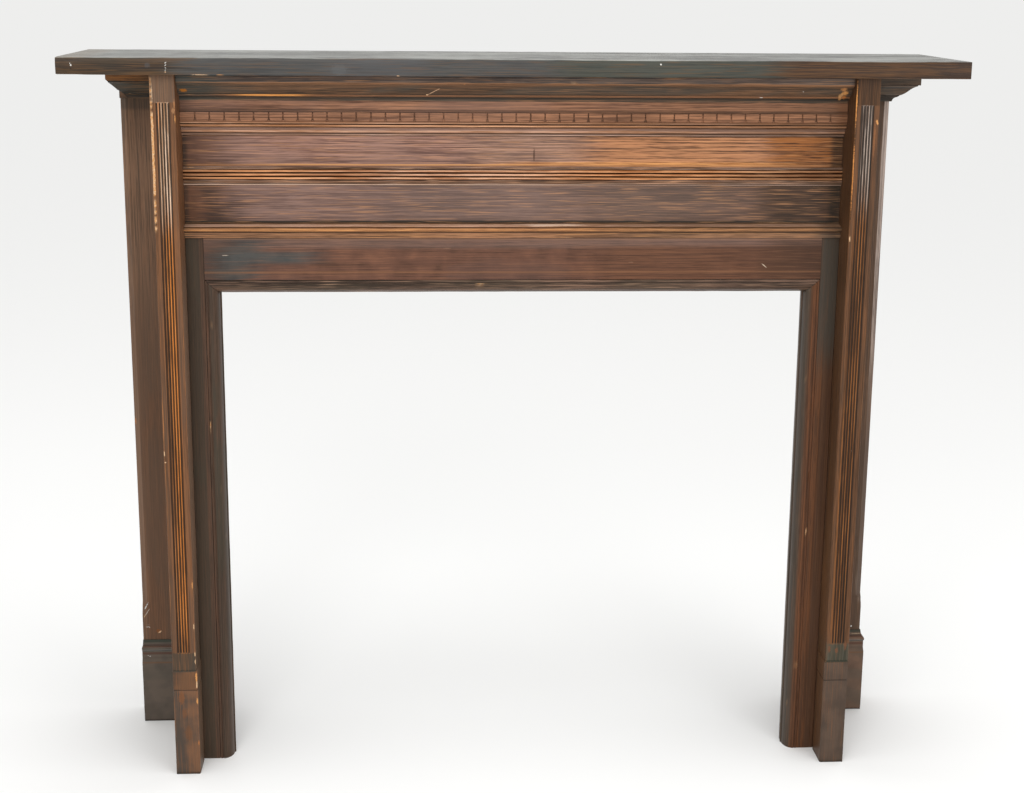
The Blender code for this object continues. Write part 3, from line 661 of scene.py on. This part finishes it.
def left_post_tear(z):
    """Where the outer arris of the left post is splintered."""
    long = step_up(z, 0.975, 1.0) * (1 - step_up(z, 1.246, 1.2545))
    return 0.5 * long + 0.42 * step_up(z, 1.06, 1.09) * (1 - step_up(z, 1.185, 1.2))


def no_tear(z):
    return 0.0


SHELF = wood(
    "shelf_stain_and_sheen", "X", (23, 14, 9), (40, 25, 13), (64, 35, 16), patch=(30, 25, 16), patchy=0.35, dash=(131, 61, 20),
    dashes=0.4, worn=(60, 46, 35), wear=0.1, rough=0.44, shine=0.22, shift=2.0, face=(-163.25, 4),
    zones=[
        zone(((44, 45, 45), (62, 61, 58)), 0.9, X=(-560, 80, 40)),
        zone((70, 69, 70), 0.6, X=(-310, -160, 40)),
        zone(((34, 39, 32), (53, 56, 45)), 0.9, X=(60, 440, 50)),
        zone(((24, 10, 4), (71, 29, 8)), 0.9, X=(430, 800, 50)),
        # Painted reflection: the whitish streaks and clouds on the shelf's top stand for the sheen of the light at a
        # grazing angle.
        zone(((28, 28, 23), (330, 335, 310)), 1.0, Z=SHELF_TOP),
        zone(((48, 50, 42), (270, 275, 256), BROAD), 0.45, Z=SHELF_TOP),
        zone((220, 180, 130), 0.5, X=(-800, -715, 14), Z=(1282, 1300, 0.8)),
    ],
    spots=[
        (-736.6, 1270.5, 1.6, 2.2, CHALK), (-738, 1273.5, 0.9, 1.1, CHALK, 0.8),
        (-737.2, 1265.2, 1.2, 1.4, (12, 10, 8)), (-583.3, 1275.2, 2.4, 0.9, CHALK, 0.75, -40),
        (-583.5, 1271.2, 2, 0.8, CHALK, 0.75, -40), (-583.8, 1267.2, 1.8, 0.8, CHALK, 0.7, 40),
        (-584, 1263.2, 1.6, 0.7, CHALK, 0.65, -40), (-584.2, 1260.2, 1.2, 1.6, TAN, 0.7),
        (-613.1, 1271.3, 6, 5, (70, 80, 92), 0.3), (-300.1, 1265, 16, 11.5, (90, 92, 92), 0.35),
        (234.3, 1276.8, 1.8, 1.6, CHALK), (-527.7, 1255.8, 16, 1, TAN, 0.7), (-495, 1256, 8, 0.8, GOLD, 0.6),
        (-203.1, 1255.6, 3, 1.4, TAN, 0.8),
    ],
)
ends = box_rings("shelf", "X")
dress("shelf", SHELF, 11, ends, ease=0.0014, step=0.012, pitch=0.006, chips=0.0, extra=shelf_wear)

CROWN = wood(
    "crown_stain_and_shade", "X", (39, 28, 20), (94, 55, 34), (161, 90, 53), patch=(67, 63, 53), patchy=0.55, dash=(310, 151, 70),
    dashes=0.55, wear=0.42, shift=4.0, face=(-105, 30),
    zones=[
        zone(((47, 41, 40), (152, 108, 88)), 0.7, Z=(1242.5, 1256, 0.8)),
        # Painted shadow: the dark gap under the shelf, along the top of the fillet.
        zone((9, 8, 6), 1.0, Z=(1253.2, 1256, 0.5)),
        zone((391, 174, 73), 0.65, Z=(1239.5, 1242.4, 0.5)),
        zone((299, 128, 55), 0.7, Z=(1217.2, 1220.8, 0.6)),
        zone((920, 394, 100), 0.95, Z=(1218, 1220.6, 0.6), X=(-465, -368, 30)),
        # Painted shadow: two dark lines in the hollow of the cove.
        zone((30, 32, 25), 0.85, Z=(1214, 1215.8, 0.6)),
        zone((30, 32, 25), 0.85, Z=(1208, 1210.6, 0.6)),
        zone((46, 56, 50), 0.7, X=(-600, -505, 30)),
    ],
    spots=[
        (-143, 1227.2, 16.5, 0.9, (480, 300, 180), 0.95, -30), (-154.7, 1221.2, 1.8, 1.6, TAN),
        (-91.1, 1241.6, 4, 1.8, GOLD), (-562.6, 1227.3, 7.5, 3.6, (360, 130, 22), 1.0),
        (557.5, 1234.5, 7.5, 4.6, (420, 190, 70), 0.9), (561, 1227.5, 7, 4.4, GOLD, 0.95),
        (555.5, 1223, 5, 5, (520, 270, 110), 0.9), (562, 1219.5, 4.4, 4.4, ORANGE, 0.85),
        (556, 1216.8, 3.6, 3.6, GOLD, 0.8), (419, 1219, 3.6, 0.9, CHALK, 0.8), (488, 1230, 1, 1, CHALK, 0.8),
    ],
)
dress("centre_crown", CROWN, 21, chips=0.4)

BED = wood(
    "bed_stain_and_shade", "X", (90, 42, 25), (201, 98, 59), (318, 154, 87), patch=(175, 100, 76), patchy=0.45,
    dash=(382, 180, 90), dashes=0.45, wear=0.45, grime=0.45, deep=(36, 17, 8), contrast=0.8, shift=6.0,
    zones=[
        zone(((74, 36, 21), (159, 80, 49)), 0.55, X=(150, 700, 120)),
        zone((55, 28, 16), 0.6, X=(460, 700, 40)),
        zone((85, 45, 30), 0.5, X=(-700, -535, 20)),
        zone(((130, 58, 30), (350, 160, 82)), 0.5, Z=(1175.1, 1189.6, 0.3)),
        zone((46, 22, 12), 0.6, Z=(1190, 1191, 0.2)),
        zone((297, 106, 37), 0.7, Z=(1173.7, 1175.1, 0.3)),
        zone(((382, 181, 84), (610, 342, 210)), 0.85, Z=(1171.6, 1173.7, 0.3)),
        # Painted shade in the quirk between the bands.
        zone((44, 20, 11), 1.0, Z=(1169.2, 1171.3, 0.3)),
        zone(((344, 151, 63), (649, 342, 189)), 0.9, Z=(1165.4, 1168.9, 0.3)),
        # Painted shade in the quirk between the bands.
        zone((48, 22, 11), 0.95, Z=(1163.7, 1165.1, 0.3)),
        zone(((220, 131, 97), (382, 241, 189)), 0.75, Z=(1159.2, 1163.6, 0.5)),
        zone(((382, 186, 94), (649, 383, 262)), 0.85, Z=(1156, 1159, 0.4)),
        # Painted shade in the quirk between the bands.
        zone((58, 30, 18), 0.9, Z=(1152.9, 1154.5, 0.3)),
        zone(((344, 201, 137), (572, 383, 294)), 0.85, Z=(1150.9, 1152.7, 0.3)),
        zone((60, 28, 14), 0.45, Z=(1149, 1174.5, 1), X=(240, 700, 200)),
        zone((75, 36, 20), 0.3, Z=(1191.5, 1210, 1), X=(300, 700, 120)),
        zone(((80, 34, 16), (340, 150, 70)), 0.4, Z=(1175.1, 1210, 1), X=(100, 700, 150)),
    ],
)
dentil_moulding(BED, 51)

FRIEZE = wood(
    "frieze_stain_and_shade", "X", (90, 48, 37), (200, 104, 77), (330, 181, 130), patch=(150, 92, 77), patchy=0.55,
    dash=(560, 274, 125), dashes=0.35, worn=(420, 206, 86), wear=0.3, contrast=1.35, shift=8.0, face=(-68.75, 4),
    zones=[
        zone(((150, 78, 61), (350, 196, 146)), 0.5, X=(-470, -60, 80), Z=UPPER_BAND),
        zone(((80, 34, 15), (450, 198, 86)), 0.88, X=(110, 480, 90), Z=UPPER_BAND),
        zone(((125, 76, 62), (200, 124, 102)), 0.88, Z=LOWER_BAND, X=(-700, 120, 120)),
        zone(((74, 46, 34), (122, 71, 50)), 0.9, Z=LOWER_BAND, X=(120, 700, 120)),
        zone(((200, 120, 88), (420, 250, 170)), 0.6, X=(-80, 110, 50), Z=UPPER_BAND),
        zone(((110, 81, 67), (150, 103, 82), BROAD), 0.35, Z=LOWER_BAND, X=(-250, 330, 120)),
        zone(((40, 22, 15), (108, 52, 33), BROAD), 0.92, X=(-700, -490, 45)),
        zone(((34, 12, 4), (280, 98, 22)), 0.92, X=(452, 600, 25), Z=UPPER_BAND),
        zone(((26, 16, 10), (66, 35, 21)), 0.92, X=(430, 600, 30), Z=LOWER_BAND),
        zone((150, 65, 33), 0.5, X=(-600, -545, 12), Z=(1000, 1060, 6)),
        # Painted shadow: the dark line on the frieze just above the ogee rail.
        zone((28, 23, 17), 0.95, Z=(996, 1002.6, 0.6)),
        zone((70, 33, 17), 0.7, Z=(1148.8, 1150.2, 0.3)),
        zone((640, 314, 115), 0.85, Z=(1098.5, 1101, 0.7), X=(-420, 60, 60)),
        zone(((300, 113, 31), (700, 323, 106)), 0.75, Z=(1098, 1104.5, 1.5), X=(-20, 480, 60)),
        zone((420, 196, 82), 0.5, Z=(1097.2, 1100.2, 0.8)),
        zone((22, 18, 13), 0.75, X=(553, 600, 6)),
        zone((30, 22, 16), 0.6, X=(-600, -566, 4)),
        zone(BACK_OF_BOARD, 0.95, Y=(-64.5, 300, 1)),
    ],
    spots=[(30.7, 1117, 2.2, 13, (60, 30, 20), 0.75)],
)
dress("frieze_board", FRIEZE, 61, box_rings("frieze_board", "X"), pitch=0.012, chips=0.0)

# Painted highlight: pale=0.6 puts a whitish sheen on the crests of the reeds.
REEDS = wood(
    "reed_stain_and_highlight", "X", (115, 46, 19), (250, 106, 46), (403, 176, 80), patch=(144, 62, 27), patchy=0.25,
    dash=(672, 352, 184), dashes=0.4, worn=(614, 264, 96), pale=0.6, grime=0.9, deep=(29, 10, 3), rough=0.4, shift=10.0,
    zones=[
        zone(((365, 158, 72), (710, 422, 280)), 0.85, Z=REEDED),
        zone(REED_WEAR, 0.75, Z=REEDED, X=(-700, -330, 120)),
        zone(REED_WEAR, 0.75, Z=REEDED, X=(60, 700, 120)),
        zone(UMBER, 0.45, X=(-720, -520, 50)),
        zone(UMBER, 0.6, X=(380, 720, 90)),
        zone(REED_QUIRK, 1.0, Z=(1072.3, 1075.2, 0.4)),
        zone(REED_QUIRK, 1.0, Z=(1078.4, 1081.4, 0.4)),
        zone(REED_QUIRK, 1.0, Z=(1084.6, 1087.6, 0.4)),
        zone((35, 12, 4), 1.0, Z=(1090.9, 1093.2, 0.3)),
        zone(((58, 35, 21), (144, 79, 48)), 0.85, Z=(1093, 1097, 0.4)),
        zone(((58, 35, 22), (154, 84, 53)), 0.85, Z=(1067.6, 1072.7, 0.4)),
        # Painted highlight: the pale line of the lit lower edge of the reeded strip, dimmer towards the right.
        zone((499, 352, 264), 0.9, Z=REED_FOOT),
        zone((96, 49, 29), 0.6, Z=REED_FOOT, X=(100, 700, 80)),
    ],
)
dress("reeded_strip", REEDS, 71, ease=0.0003, step=0.002, chips=0.2, reach=0.0009)

OGEE = wood(
    "ogee_stain_shade_and_highlight", "X", (112, 51, 25), (204, 92, 45), (306, 141, 68), patch=UMBER, patchy=0.25, dash=(530, 254, 98),
    worn=(571, 235, 71), deep=(41, 18, 8), rough=0.4, shift=12.0,
    zones=[
        # Painted shadow: the dark line at the top of the ogee, where it meets the frieze.
        zone((51, 30, 18), 0.9, Z=(997.6, 1001, 0.4)),
        # Painted highlight: the slope of the ogee faces up and catches the light.
        zone(((326, 179, 107), (755, 479, 347)), 0.9, Z=(994.2, 997.4, 0.5)),
        zone((107, 47, 21), 0.8, Z=(992.4, 994, 0.4)),
        zone(((194, 86, 37), (551, 244, 85)), 0.85, Z=(986.8, 992.2, 0.5)),
        zone((61, 29, 14), 0.9, Z=(984.8, 986.4, 0.4)),
        zone(((107, 53, 27), (316, 155, 80)), 0.8, Z=(974, 984.6, 0.5)),
        # Painted highlight: the brightest part of the lit slope, in the middle.
        zone((775, 564, 427), 0.9, Z=(994.6, 997.2, 0.4), X=(14, 94, 12)),
        zone(((31, 34, 29), (92, 75, 55)), 0.85, X=(-720, -556, 25)),
        zone(((60, 40, 25), (170, 95, 54)), 0.45, X=(160, 720, 120)),
        zone(UMBER, 0.25, X=(-720, -330, 80)),
        zone(((31, 26, 20), (92, 62, 41)), 0.8, X=(540, 720, 25)),
    ],
)
dress("ogee_rail", OGEE, 81, ease=0.0003, step=0.003, chips=0.3)

HEADER = wood(
    "header_stain", "X", (63, 30, 19), (109, 50, 32), (158, 71, 42), patch=(88, 49, 38), patchy=0.45,
    dash=(210, 96, 50), dashes=0.25, wear=0.3, bare=-0.05, contrast=0.7, smooth=0.3, shift=14.0, face=(-81.75, 4),
    zones=[
        zone(((120, 80, 66), (190, 118, 92)), 0.55, Z=(956, 980, 5)),
        zone(((66, 28, 15), (118, 49, 24)), 0.75, X=(130, 600, 80), Z=(860, 960, 6)),
        zone(BACK_OF_BOARD, 0.95, Y=(-77.5, 300, 1)),
        zone(((34, 36, 36), (60, 56, 50), BROAD), 0.9, X=(-520, -445, 30)),
        zone(((38, 44, 44), (64, 62, 57), BROAD), 0.95, X=(-520, -350, 35), Z=(930, 950, 6)),
        zone((46, 28, 20), 0.45, X=(-600, -500, 12)),
        zone((40, 19, 10), 0.6, X=(440, 600, 40)),
        zone((210, 96, 44), 0.4, Z=(912, 915.5, 0.8)),
        zone((240, 130, 80), 0.45, Z=(970, 974.5, 0.6)),
    ],
    spots=[
        (-504.8, 943.7, 6.6, 0.8, (360, 300, 240)), (439.5, 924.9, 6, 1, (480, 380, 280), 0.9, 38),
        (203, 931, 5, 0.6, (260, 150, 90), 0.6), (-120, 956, 8, 0.6, (260, 150, 90), 0.5),
    ],
)
dress("header_board", HEADER, 91, box_rings("header_board", "X"), pitch=0.012, chips=0.0)

HEAD = wood(
    "head_moulding_stain", "X", (35, 22, 15), (86, 51, 35), (169, 97, 64), patchy=0.4, dash=(301, 185, 119),
    worn=(414, 260, 176), wear=0.42, grime=0.6, deep=(37, 23, 16), rough=0.38, shift=16.0,
)
dress("head_moulding", HEAD, 101, ease=0.0003, step=0.004, chips=0.3)

LEG_MOULD_LEFT = wood(
    "leg_moulding_left_stain", "Z", (38, 25, 17), (56, 36, 24), (81, 48, 32), patch=(47, 42, 29), dash=(123, 59, 34),
    dashes=0.25, worn=(224, 147, 100), wear=0.3, grime=0.14, deep=(29, 20, 14), contrast=0.8, rough=0.38, shift=18.0,
    zones=[zone(QUIRK, 0.6, X=(-542, -535, 1.2))],
)
LEG_MOULD_RIGHT = wood(
    "leg_moulding_right_stain", "Z", (45, 23, 13), (76, 36, 20), (108, 50, 26), patch=(63, 41, 23), patchy=0.4,
    dash=(176, 70, 28), dashes=0.25, worn=(290, 144, 81), wear=0.3, grime=0.14, deep=(38, 20, 12), contrast=0.8,
    rough=0.38, shift=20.0,
    zones=[
        zone(((42, 42, 34), (70, 62, 50)), 0.65, X=(510, 526.5, 3)),
        zone(((68, 28, 13), (128, 46, 17)), 0.7, X=(529, 550, 3)),
    ],
)
LEG_LEFT = wood(
    "leg_board_left_stain", "Z", (43, 30, 21), (52, 36, 24), (64, 41, 27), patch=(50, 41, 28), patchy=0.45,
    dash=(103, 48, 24), dashes=0.2, worn=RUSSET, wear=0.3, contrast=0.8, rough=0.44, shift=22.0,
    zones=[zone(QUIRK, 0.6, X=(-549, -540, 1.2))],
)
LEG_RIGHT = wood(
    "leg_board_right_stain", "Z", (58, 28, 16), (75, 36, 19), (94, 45, 24), patch=(70, 37, 23), patchy=0.4,
    dash=(133, 55, 24), dashes=0.2, worn=RUSSET, wear=0.3, contrast=0.8, rough=0.44, shift=24.0,
    zones=[zone(((56, 24, 11), (140, 50, 17)), 0.6, X=(540, 555, 2.5)), zone((48, 45, 36), 0.75, Z=(760, 1000, 60))],
)
POST_LEFT = wood(
    "post_left_stain", "Z", (80, 40, 21), (120, 56, 27), (170, 76, 34), patch=(94, 58, 38), dash=(260, 100, 34),
    dashes=0.3, worn=(520, 205, 60), wear=0.6, bare=-0.02, grime=0.85, shift=26.0, face=(-143, 3.5),
    zones=[
        zone(((100, 40, 14), (300, 112, 32)), 0.8, Z=FLUTED, X=(-605, -582, 2)),
        zone(((190, 66, 15), (600, 205, 38)), 0.85, Z=FLUTED, X=(-596.5, -584, 3)),
        zone(((330, 180, 95), (800, 580, 420)), 0.95, Z=(1020, 1300, 40), X=(-604, -583.5, 1)),
        zone(((540, 200, 60), (640, 330, 160)), 0.9, Z=(1160, 1300, 10), X=(-602, -598.5, 0.6)),
        zone(((115, 71, 46), (156, 93, 58)), 1.0, Z=ABOVE_FLUTES),
        zone(((60, 46, 36), (148, 75, 41), BROAD), 0.95, Z=(-100, 200, 2)),
        zone(((50, 34, 24), (122, 60, 30), BROAD), 0.85, Z=(164, 199, 2)),
        zone((45, 38, 28), 0.8, Z=(200, 234, 2)),
        zone((20, 22, 16), 0.8, Z=(198.5, 202, 0.8)),
        zone(((70, 48, 33), (118, 74, 48)), 0.9, Y=BEHIND_POST_FACE),
        zone(((130, 80, 52), (190, 110, 70)), 0.9, Y=BEHIND_POST_FACE, Z=(330, 960, 100)),
        zone(((80, 32, 12), (230, 84, 24)), 0.6, Y=(-140.5, 200, 1), Z=(950, 1300, 80)),
        zone((22, 18, 13), 0.7, Z=POST_SOLE),
    ],
    spots=[
        (-574.5, 1206, 2.6, 11, (330, 150, 60), 0.7), (-576.5, 1196, 3.4, 7, (360, 180, 80), 0.6),
        (-573.8, 1182, 1.4, 9, GOLD, 0.8), (-610.5, 1225, 1, 22, (480, 340, 230), 0.8),
        (-574, 363.1, 1.6, 9, GOLD, 0.85), (-574, 283.8, 1.6, 8, TAN, 0.85), (-573.6, 232, 1.4, 6, TAN, 0.8),
        (-573.6, 218, 1.6, 7, TAN, 0.8), (-572.8, 188, 2, 11, GOLD, 0.9), (-572.4, 174, 1.6, 8, TAN, 0.9),
        (-572.4, 141.8, 2, 6, GOLD, 0.9), (-572.4, 60, 1.4, 6, ORANGE, 0.8), (-614, 605, 1.6, 6.5, TAN),
        (-612.5, 589, 2.2, 1.4, TAN), (-600, 150, 6, 16, (190, 70, 24), 0.6), (-590, 80, 8, 20, (130, 52, 20), 0.5),
        (-596, 118, 6, 12, (150, 56, 20), 0.5),
    ],
)
POST_RIGHT = wood(
    "post_right_stain", "Z", (51, 25, 12), (82, 38, 18), (124, 56, 25), patch=(62, 37, 22), patchy=0.45,
    dash=(190, 74, 26), dashes=0.3, worn=(330, 150, 60), wear=0.55, bare=-0.02, grime=0.85, shift=28.0,
    face=(-143, 3.5),
    zones=[
        zone(((75, 28, 8), (270, 98, 24)), 0.85, Z=(240, 1060, 80), X=(580, 603, 3)),
        zone(((90, 64, 50), (480, 390, 330)), 0.8, Z=(1050, 1300, 40), X=(583.5, 604, 1)),
        zone(((38, 18, 8), (68, 33, 15)), 1.0, Z=ABOVE_FLUTES),
        zone(((30, 34, 24), (60, 58, 42)), 0.9, Z=(200, 234, 3)),
        zone((16, 22, 14), 0.85, Z=(198, 202, 1)),
        zone(((56, 39, 29), (84, 56, 40), BROAD), 0.95, Z=(-100, 198, 2)),
        zone(((44, 22, 11), (105, 49, 21)), 0.85, Y=BEHIND_POST_FACE),
        zone((22, 18, 13), 0.7, Z=POST_SOLE),
    ],
    spots=[
        (610.9, 1181.5, 2.6, 6, GOLD, 0.95, -15), (574.8, 980.8, 1.4, 5.5, TAN),
        (574, 1208, 1.5, 48, (620, 260, 70), 0.9), (574, 1090, 1.5, 80, (560, 220, 55), 0.9),
        (608, 1150, 2.2, 40, (240, 95, 34), 0.6), (578.5, 224, 3.4, 11, RUSSET, 0.8),
        (591.9, 220.7, 3.6, 8, RUSSET, 0.8), (607.9, 230, 3.6, 11, RUSSET, 0.8), (599, 600, 1, 2.5, PINK, 0.8),
    ],
)
WING_LEFT = wood(
    "wing_left_stain", "Z", (91, 52, 32), (121, 62, 35), (155, 78, 43), patch=(97, 62, 42), patchy=0.45,
    dash=(186, 83, 39), dashes=0.25, worn=(248, 143, 88), wear=0.25, contrast=0.75, rough=0.44, shift=30.0,
    face=(105, 10),
    zones=[
        zone(((105, 65, 43), (207, 120, 73)), 0.45, X=(-710, -692.5, 0.8)),
        zone(((97, 62, 40), (235, 130, 76)), 0.65, Z=(900, 1300, 160)),
        zone((36, 32, 24), 0.5, Z=(1180, 1202, 4)),
    ],
    spots=[
        (-695.2, 234, 1.1, 11.2, (600, 600, 580), 0.9, 26), (-694.2, 221, 1, 12.5, (420, 370, 310), 0.9, 33),
        (-699, 214, 0.9, 5, (480, 320, 180), 0.9, 33), (-690.5, 190.5, 1.2, 1.4, CHALK, 0.9),
        (-693, 191.7, 6, 1, (480, 430, 380)), (-693, 196, 5, 0.7, (200, 180, 160), 0.7),
        (-674, 183.5, 6.2, 5.2, (190, 66, 20), 0.85), (-671.1, 181.1, 5, 2, TAN, 0.95, -35),
        (-701, 600, 1.2, 9, ORANGE, 0.8),
    ],
)
WING_RIGHT = wood(
    "wing_right_stain_and_highlight", "Z", (68, 40, 25), (97, 55, 34), (128, 74, 44), patch=(70, 46, 32), patchy=0.35,
    dash=(165, 84, 46), dashes=0.25, worn=(330, 252, 200), rough=0.4, shift=32.0, face=(100, 10),
    # Painted highlight: the pale strip on the upper part of the outer chamfer, which faces the light.
    zones=[zone(((110, 82, 67), (462, 367, 315)), 0.75, X=(689, 710, 0.8), Z=(700, 1300, 120))],
    spots=[(683.2, 173.5, 1.8, 1.8, CHALK, 0.95)],
)
WING_CROWN_LEFT = wood(
    "wing_crown_left_stain_and_shade", "X", (34, 25, 16), (69, 45, 30), (134, 69, 32), patch=(49, 54, 46), patchy=0.6,
    dash=(336, 157, 58), dashes=0.55, wear=0.4, shift=34.0,
    zones=[
        zone(((78, 45, 28), (400, 160, 48)), 0.8, Z=(1233, 1256, 1), X=(-740, -640, 15)),
        # Painted shadow: the dark gap under the shelf, along the top of the crown.
        zone((16, 15, 12), 0.8, Z=(1253, 1256, 0.6)),
        zone(((40, 47, 42), (74, 74, 60)), 0.6, Z=(1205, 1232, 1)),
    ],
)
WING_CROWN_RIGHT = wood(
    "wing_crown_right_stain", "X", (32, 22, 14), (64, 41, 27), (114, 68, 39), patch=(57, 57, 49), dash=(194, 120, 74),
    dashes=0.45, worn=(262, 205, 162), wear=0.4, rough=0.4, shift=35.0,
)


def base_stain(word, gain):
    """Stain of one wing's base; gain shifts its plain tones."""
    dark, body, bright = (
        tuple(channel * part for channel, part in zip(tone, gain))
        for tone in ((85, 67, 53), (98, 77, 61), (114, 88, 68))
    )
    return wood(
        "wing_base_stain_" + word, "X", dark, body, bright, patch=(82, 72, 56), patchy=0.4, dash=(130, 85, 58),
        dashes=0.04, worn=(170, 88, 45), wear=0.4, contrast=0.7, smooth=0.85, rough=0.44, shift=36.0, face=(95, 6),
        zones=[
            zone((26, 36, 26), 0.75, Z=(161, 169, 1.2)),
            zone((120, 54, 32), 0.65, Z=(152, 157.2, 1)),
            zone((170, 165, 150), 0.65, Z=(144, 148, 0.8)),
            zone((80, 32, 20), 0.65, Z=(137.5, 142.5, 1)),
            zone((150, 70, 32), 0.5, Z=(119.5, 123.2, 0.8)),
            zone((18, 15, 11), 0.7, Z=(-10, 3, 1.5)),
        ],
        spots=[
            (694, 158.5, 13, 0.9, (330, 250, 150), 0.85), (-691, 134, 1.4, 1.2, CHALK, 0.8),
            (-694.5, 135.5, 1, 0.8, CHALK, 0.7),
        ],
    )


WING_BASE_LEFT, WING_BASE_RIGHT = base_stain("left", (1.0, 1.0, 1.0)), base_stain("right", (1.32, 1.02, 0.88))
HIDDEN = wood(
    "hidden_stain", "Z", (33, 24, 17), (68, 46, 31), (108, 73, 47), patch=(88, 77, 62), patchy=0.4, dash=(165, 105, 64),
    dashes=0.35, worn=TAN, wear=0.2, rough=0.6, shift=38.0,
)

SIDES = {
    "left": (-1, 200, LEG_MOULD_LEFT, LEG_LEFT, POST_LEFT, WING_LEFT, WING_CROWN_LEFT, WING_BASE_LEFT),
    "right": (1, 300, LEG_MOULD_RIGHT, LEG_RIGHT, POST_RIGHT, WING_RIGHT, WING_CROWN_RIGHT, WING_BASE_RIGHT),
}
for word, (side, seed, leg_mould, leg, post_stain, wing, crown, base) in SIDES.items():
    left = side < 0
    dress("leg_moulding_" + word, leg_mould, seed, ease=0.0003, step=0.004, chips=0.4)
    dress("leg_board_" + word, leg, seed + 10, box_rings("leg_board_" + word, "Z"), pitch=0.016, chips=0.0)
    post(side, word, post_stain, left_post_tear if left else no_tear, seed + 20)
    wing_board(side, word, wing, seed + 30)
    for panel in ("side_panel_" + word, "return_board_" + word):
        dress(panel, HIDDEN, seed + 40, box_rings(panel, "Z"), ease=0.001, pitch=0.02, chips=0.3)
    for part in ("front_", "return_"):
        worn_end = broken_return if left else None
        node = "wing_crown_" + part + word
        piece = dress(node, crown, seed + 50, ease=0.0003, step=0.004, pitch=0.004, extra=worn_end)
        if left:
            returned = part == "return_"
            wing_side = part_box("wing_board_left")[0].x - 0.0004 if returned else 0.0
            break_off(piece, wing_side, RETURN_BREAK if returned else 0.0)
        dress("wing_base_" + part + word, base, seed + 60, ease=0.0004, pitch=0.008)

# ---------------------------------------------------------------- stage
REACH = 900
floor_mesh = bpy.data.meshes.new("floor")
corners = [(-REACH, -REACH, 0), (REACH, -REACH, 0), (REACH, REACH, 0), (-REACH, REACH, 0)]
floor_mesh.from_pydata(corners, [], [(0, 1, 2, 3)])
floor = bpy.data.objects.new("floor", floor_mesh)
bpy.context.scene.collection.objects.link(floor)
pale = bpy.data.materials.new("pale_floor")
pale.use_nodes = True
sockets = pale.node_tree.nodes["Principled BSDF"].inputs
sockets["Base Color"].default_value = (0.9, 0.9, 0.89, 1.0)
sockets["Roughness"].default_value = 0.9
sockets["Specular IOR Level"].default_value = 0.0
floor_mesh.materials.append(pale)

world = bpy.data.worlds.new("soft_white")
world.use_nodes = True
sky = world.node_tree.nodes["Background"].inputs
sky["Color"].default_value = (1.0, 1.0, 1.0, 1.0)
sky["Strength"].default_value = 0.95
bpy.context.scene.world = world


def lamp(name, place, target, size, power):
    """A round soft lamp turned to a target."""
    data = bpy.data.lights.new(name, "AREA")
    data.shape = "DISK"
    data.size = size
    data.energy = power
    made = bpy.data.objects.new(name, data)
    made.location = place
    made.rotation_euler = (Vector(target) - Vector(place)).to_track_quat("-Z", "Y").to_euler()
    bpy.context.scene.collection.objects.link(made)


lamp("key", (-0.9, -3.4, 2.6), (0.0, 0.0, 0.8), 1.8, 44.0)
lamp("fill", (1.9, -3.2, 1.3), (0.0, 0.0, 0.7), 1.8, 26.0)
lamp("top", (0.3, -0.6, 4.2), (0.0, 0.0, 0.9), 2.4, 30.0)

# ---------------------------------------------------------------- camera
FOCAL_PIXELS, FRAME_WIDTH = 1723.85, 1024
CAMERA_PLACE = Vector((-0.1884, -3.06505, 1.4126))
YAW, PITCH, ROLL = 0.0615, 0.2374, 0.0086
ahead = Vector((math.sin(YAW) * math.cos(PITCH), math.cos(YAW) * math.cos(PITCH), -math.sin(PITCH)))
level = Vector((math.cos(YAW), -math.sin(YAW), 0.0))
up = level.cross(ahead)
right = level * math.cos(ROLL) + up * math.sin(ROLL)
up = up * math.cos(ROLL) - level * math.sin(ROLL)
lens = bpy.data.cameras.new("camera")
lens.sensor_fit = "HORIZONTAL"
lens.sensor_width = 36.0
lens.lens = FOCAL_PIXELS * lens.sensor_width / FRAME_WIDTH
lens.clip_end = 3000.0
camera = bpy.data.objects.new("camera", lens)
camera.matrix_world = Matrix.Translation(CAMERA_PLACE) @ Matrix((right, up, -ahead)).transposed().to_4x4()
bpy.context.scene.collection.objects.link(camera)
bpy.context.scene.camera = camera
bpy.context.scene.view_settings.view_transform = "Standard"
bpy.context.scene.view_settings.look = "None"

bpy.context.view_layer.update()
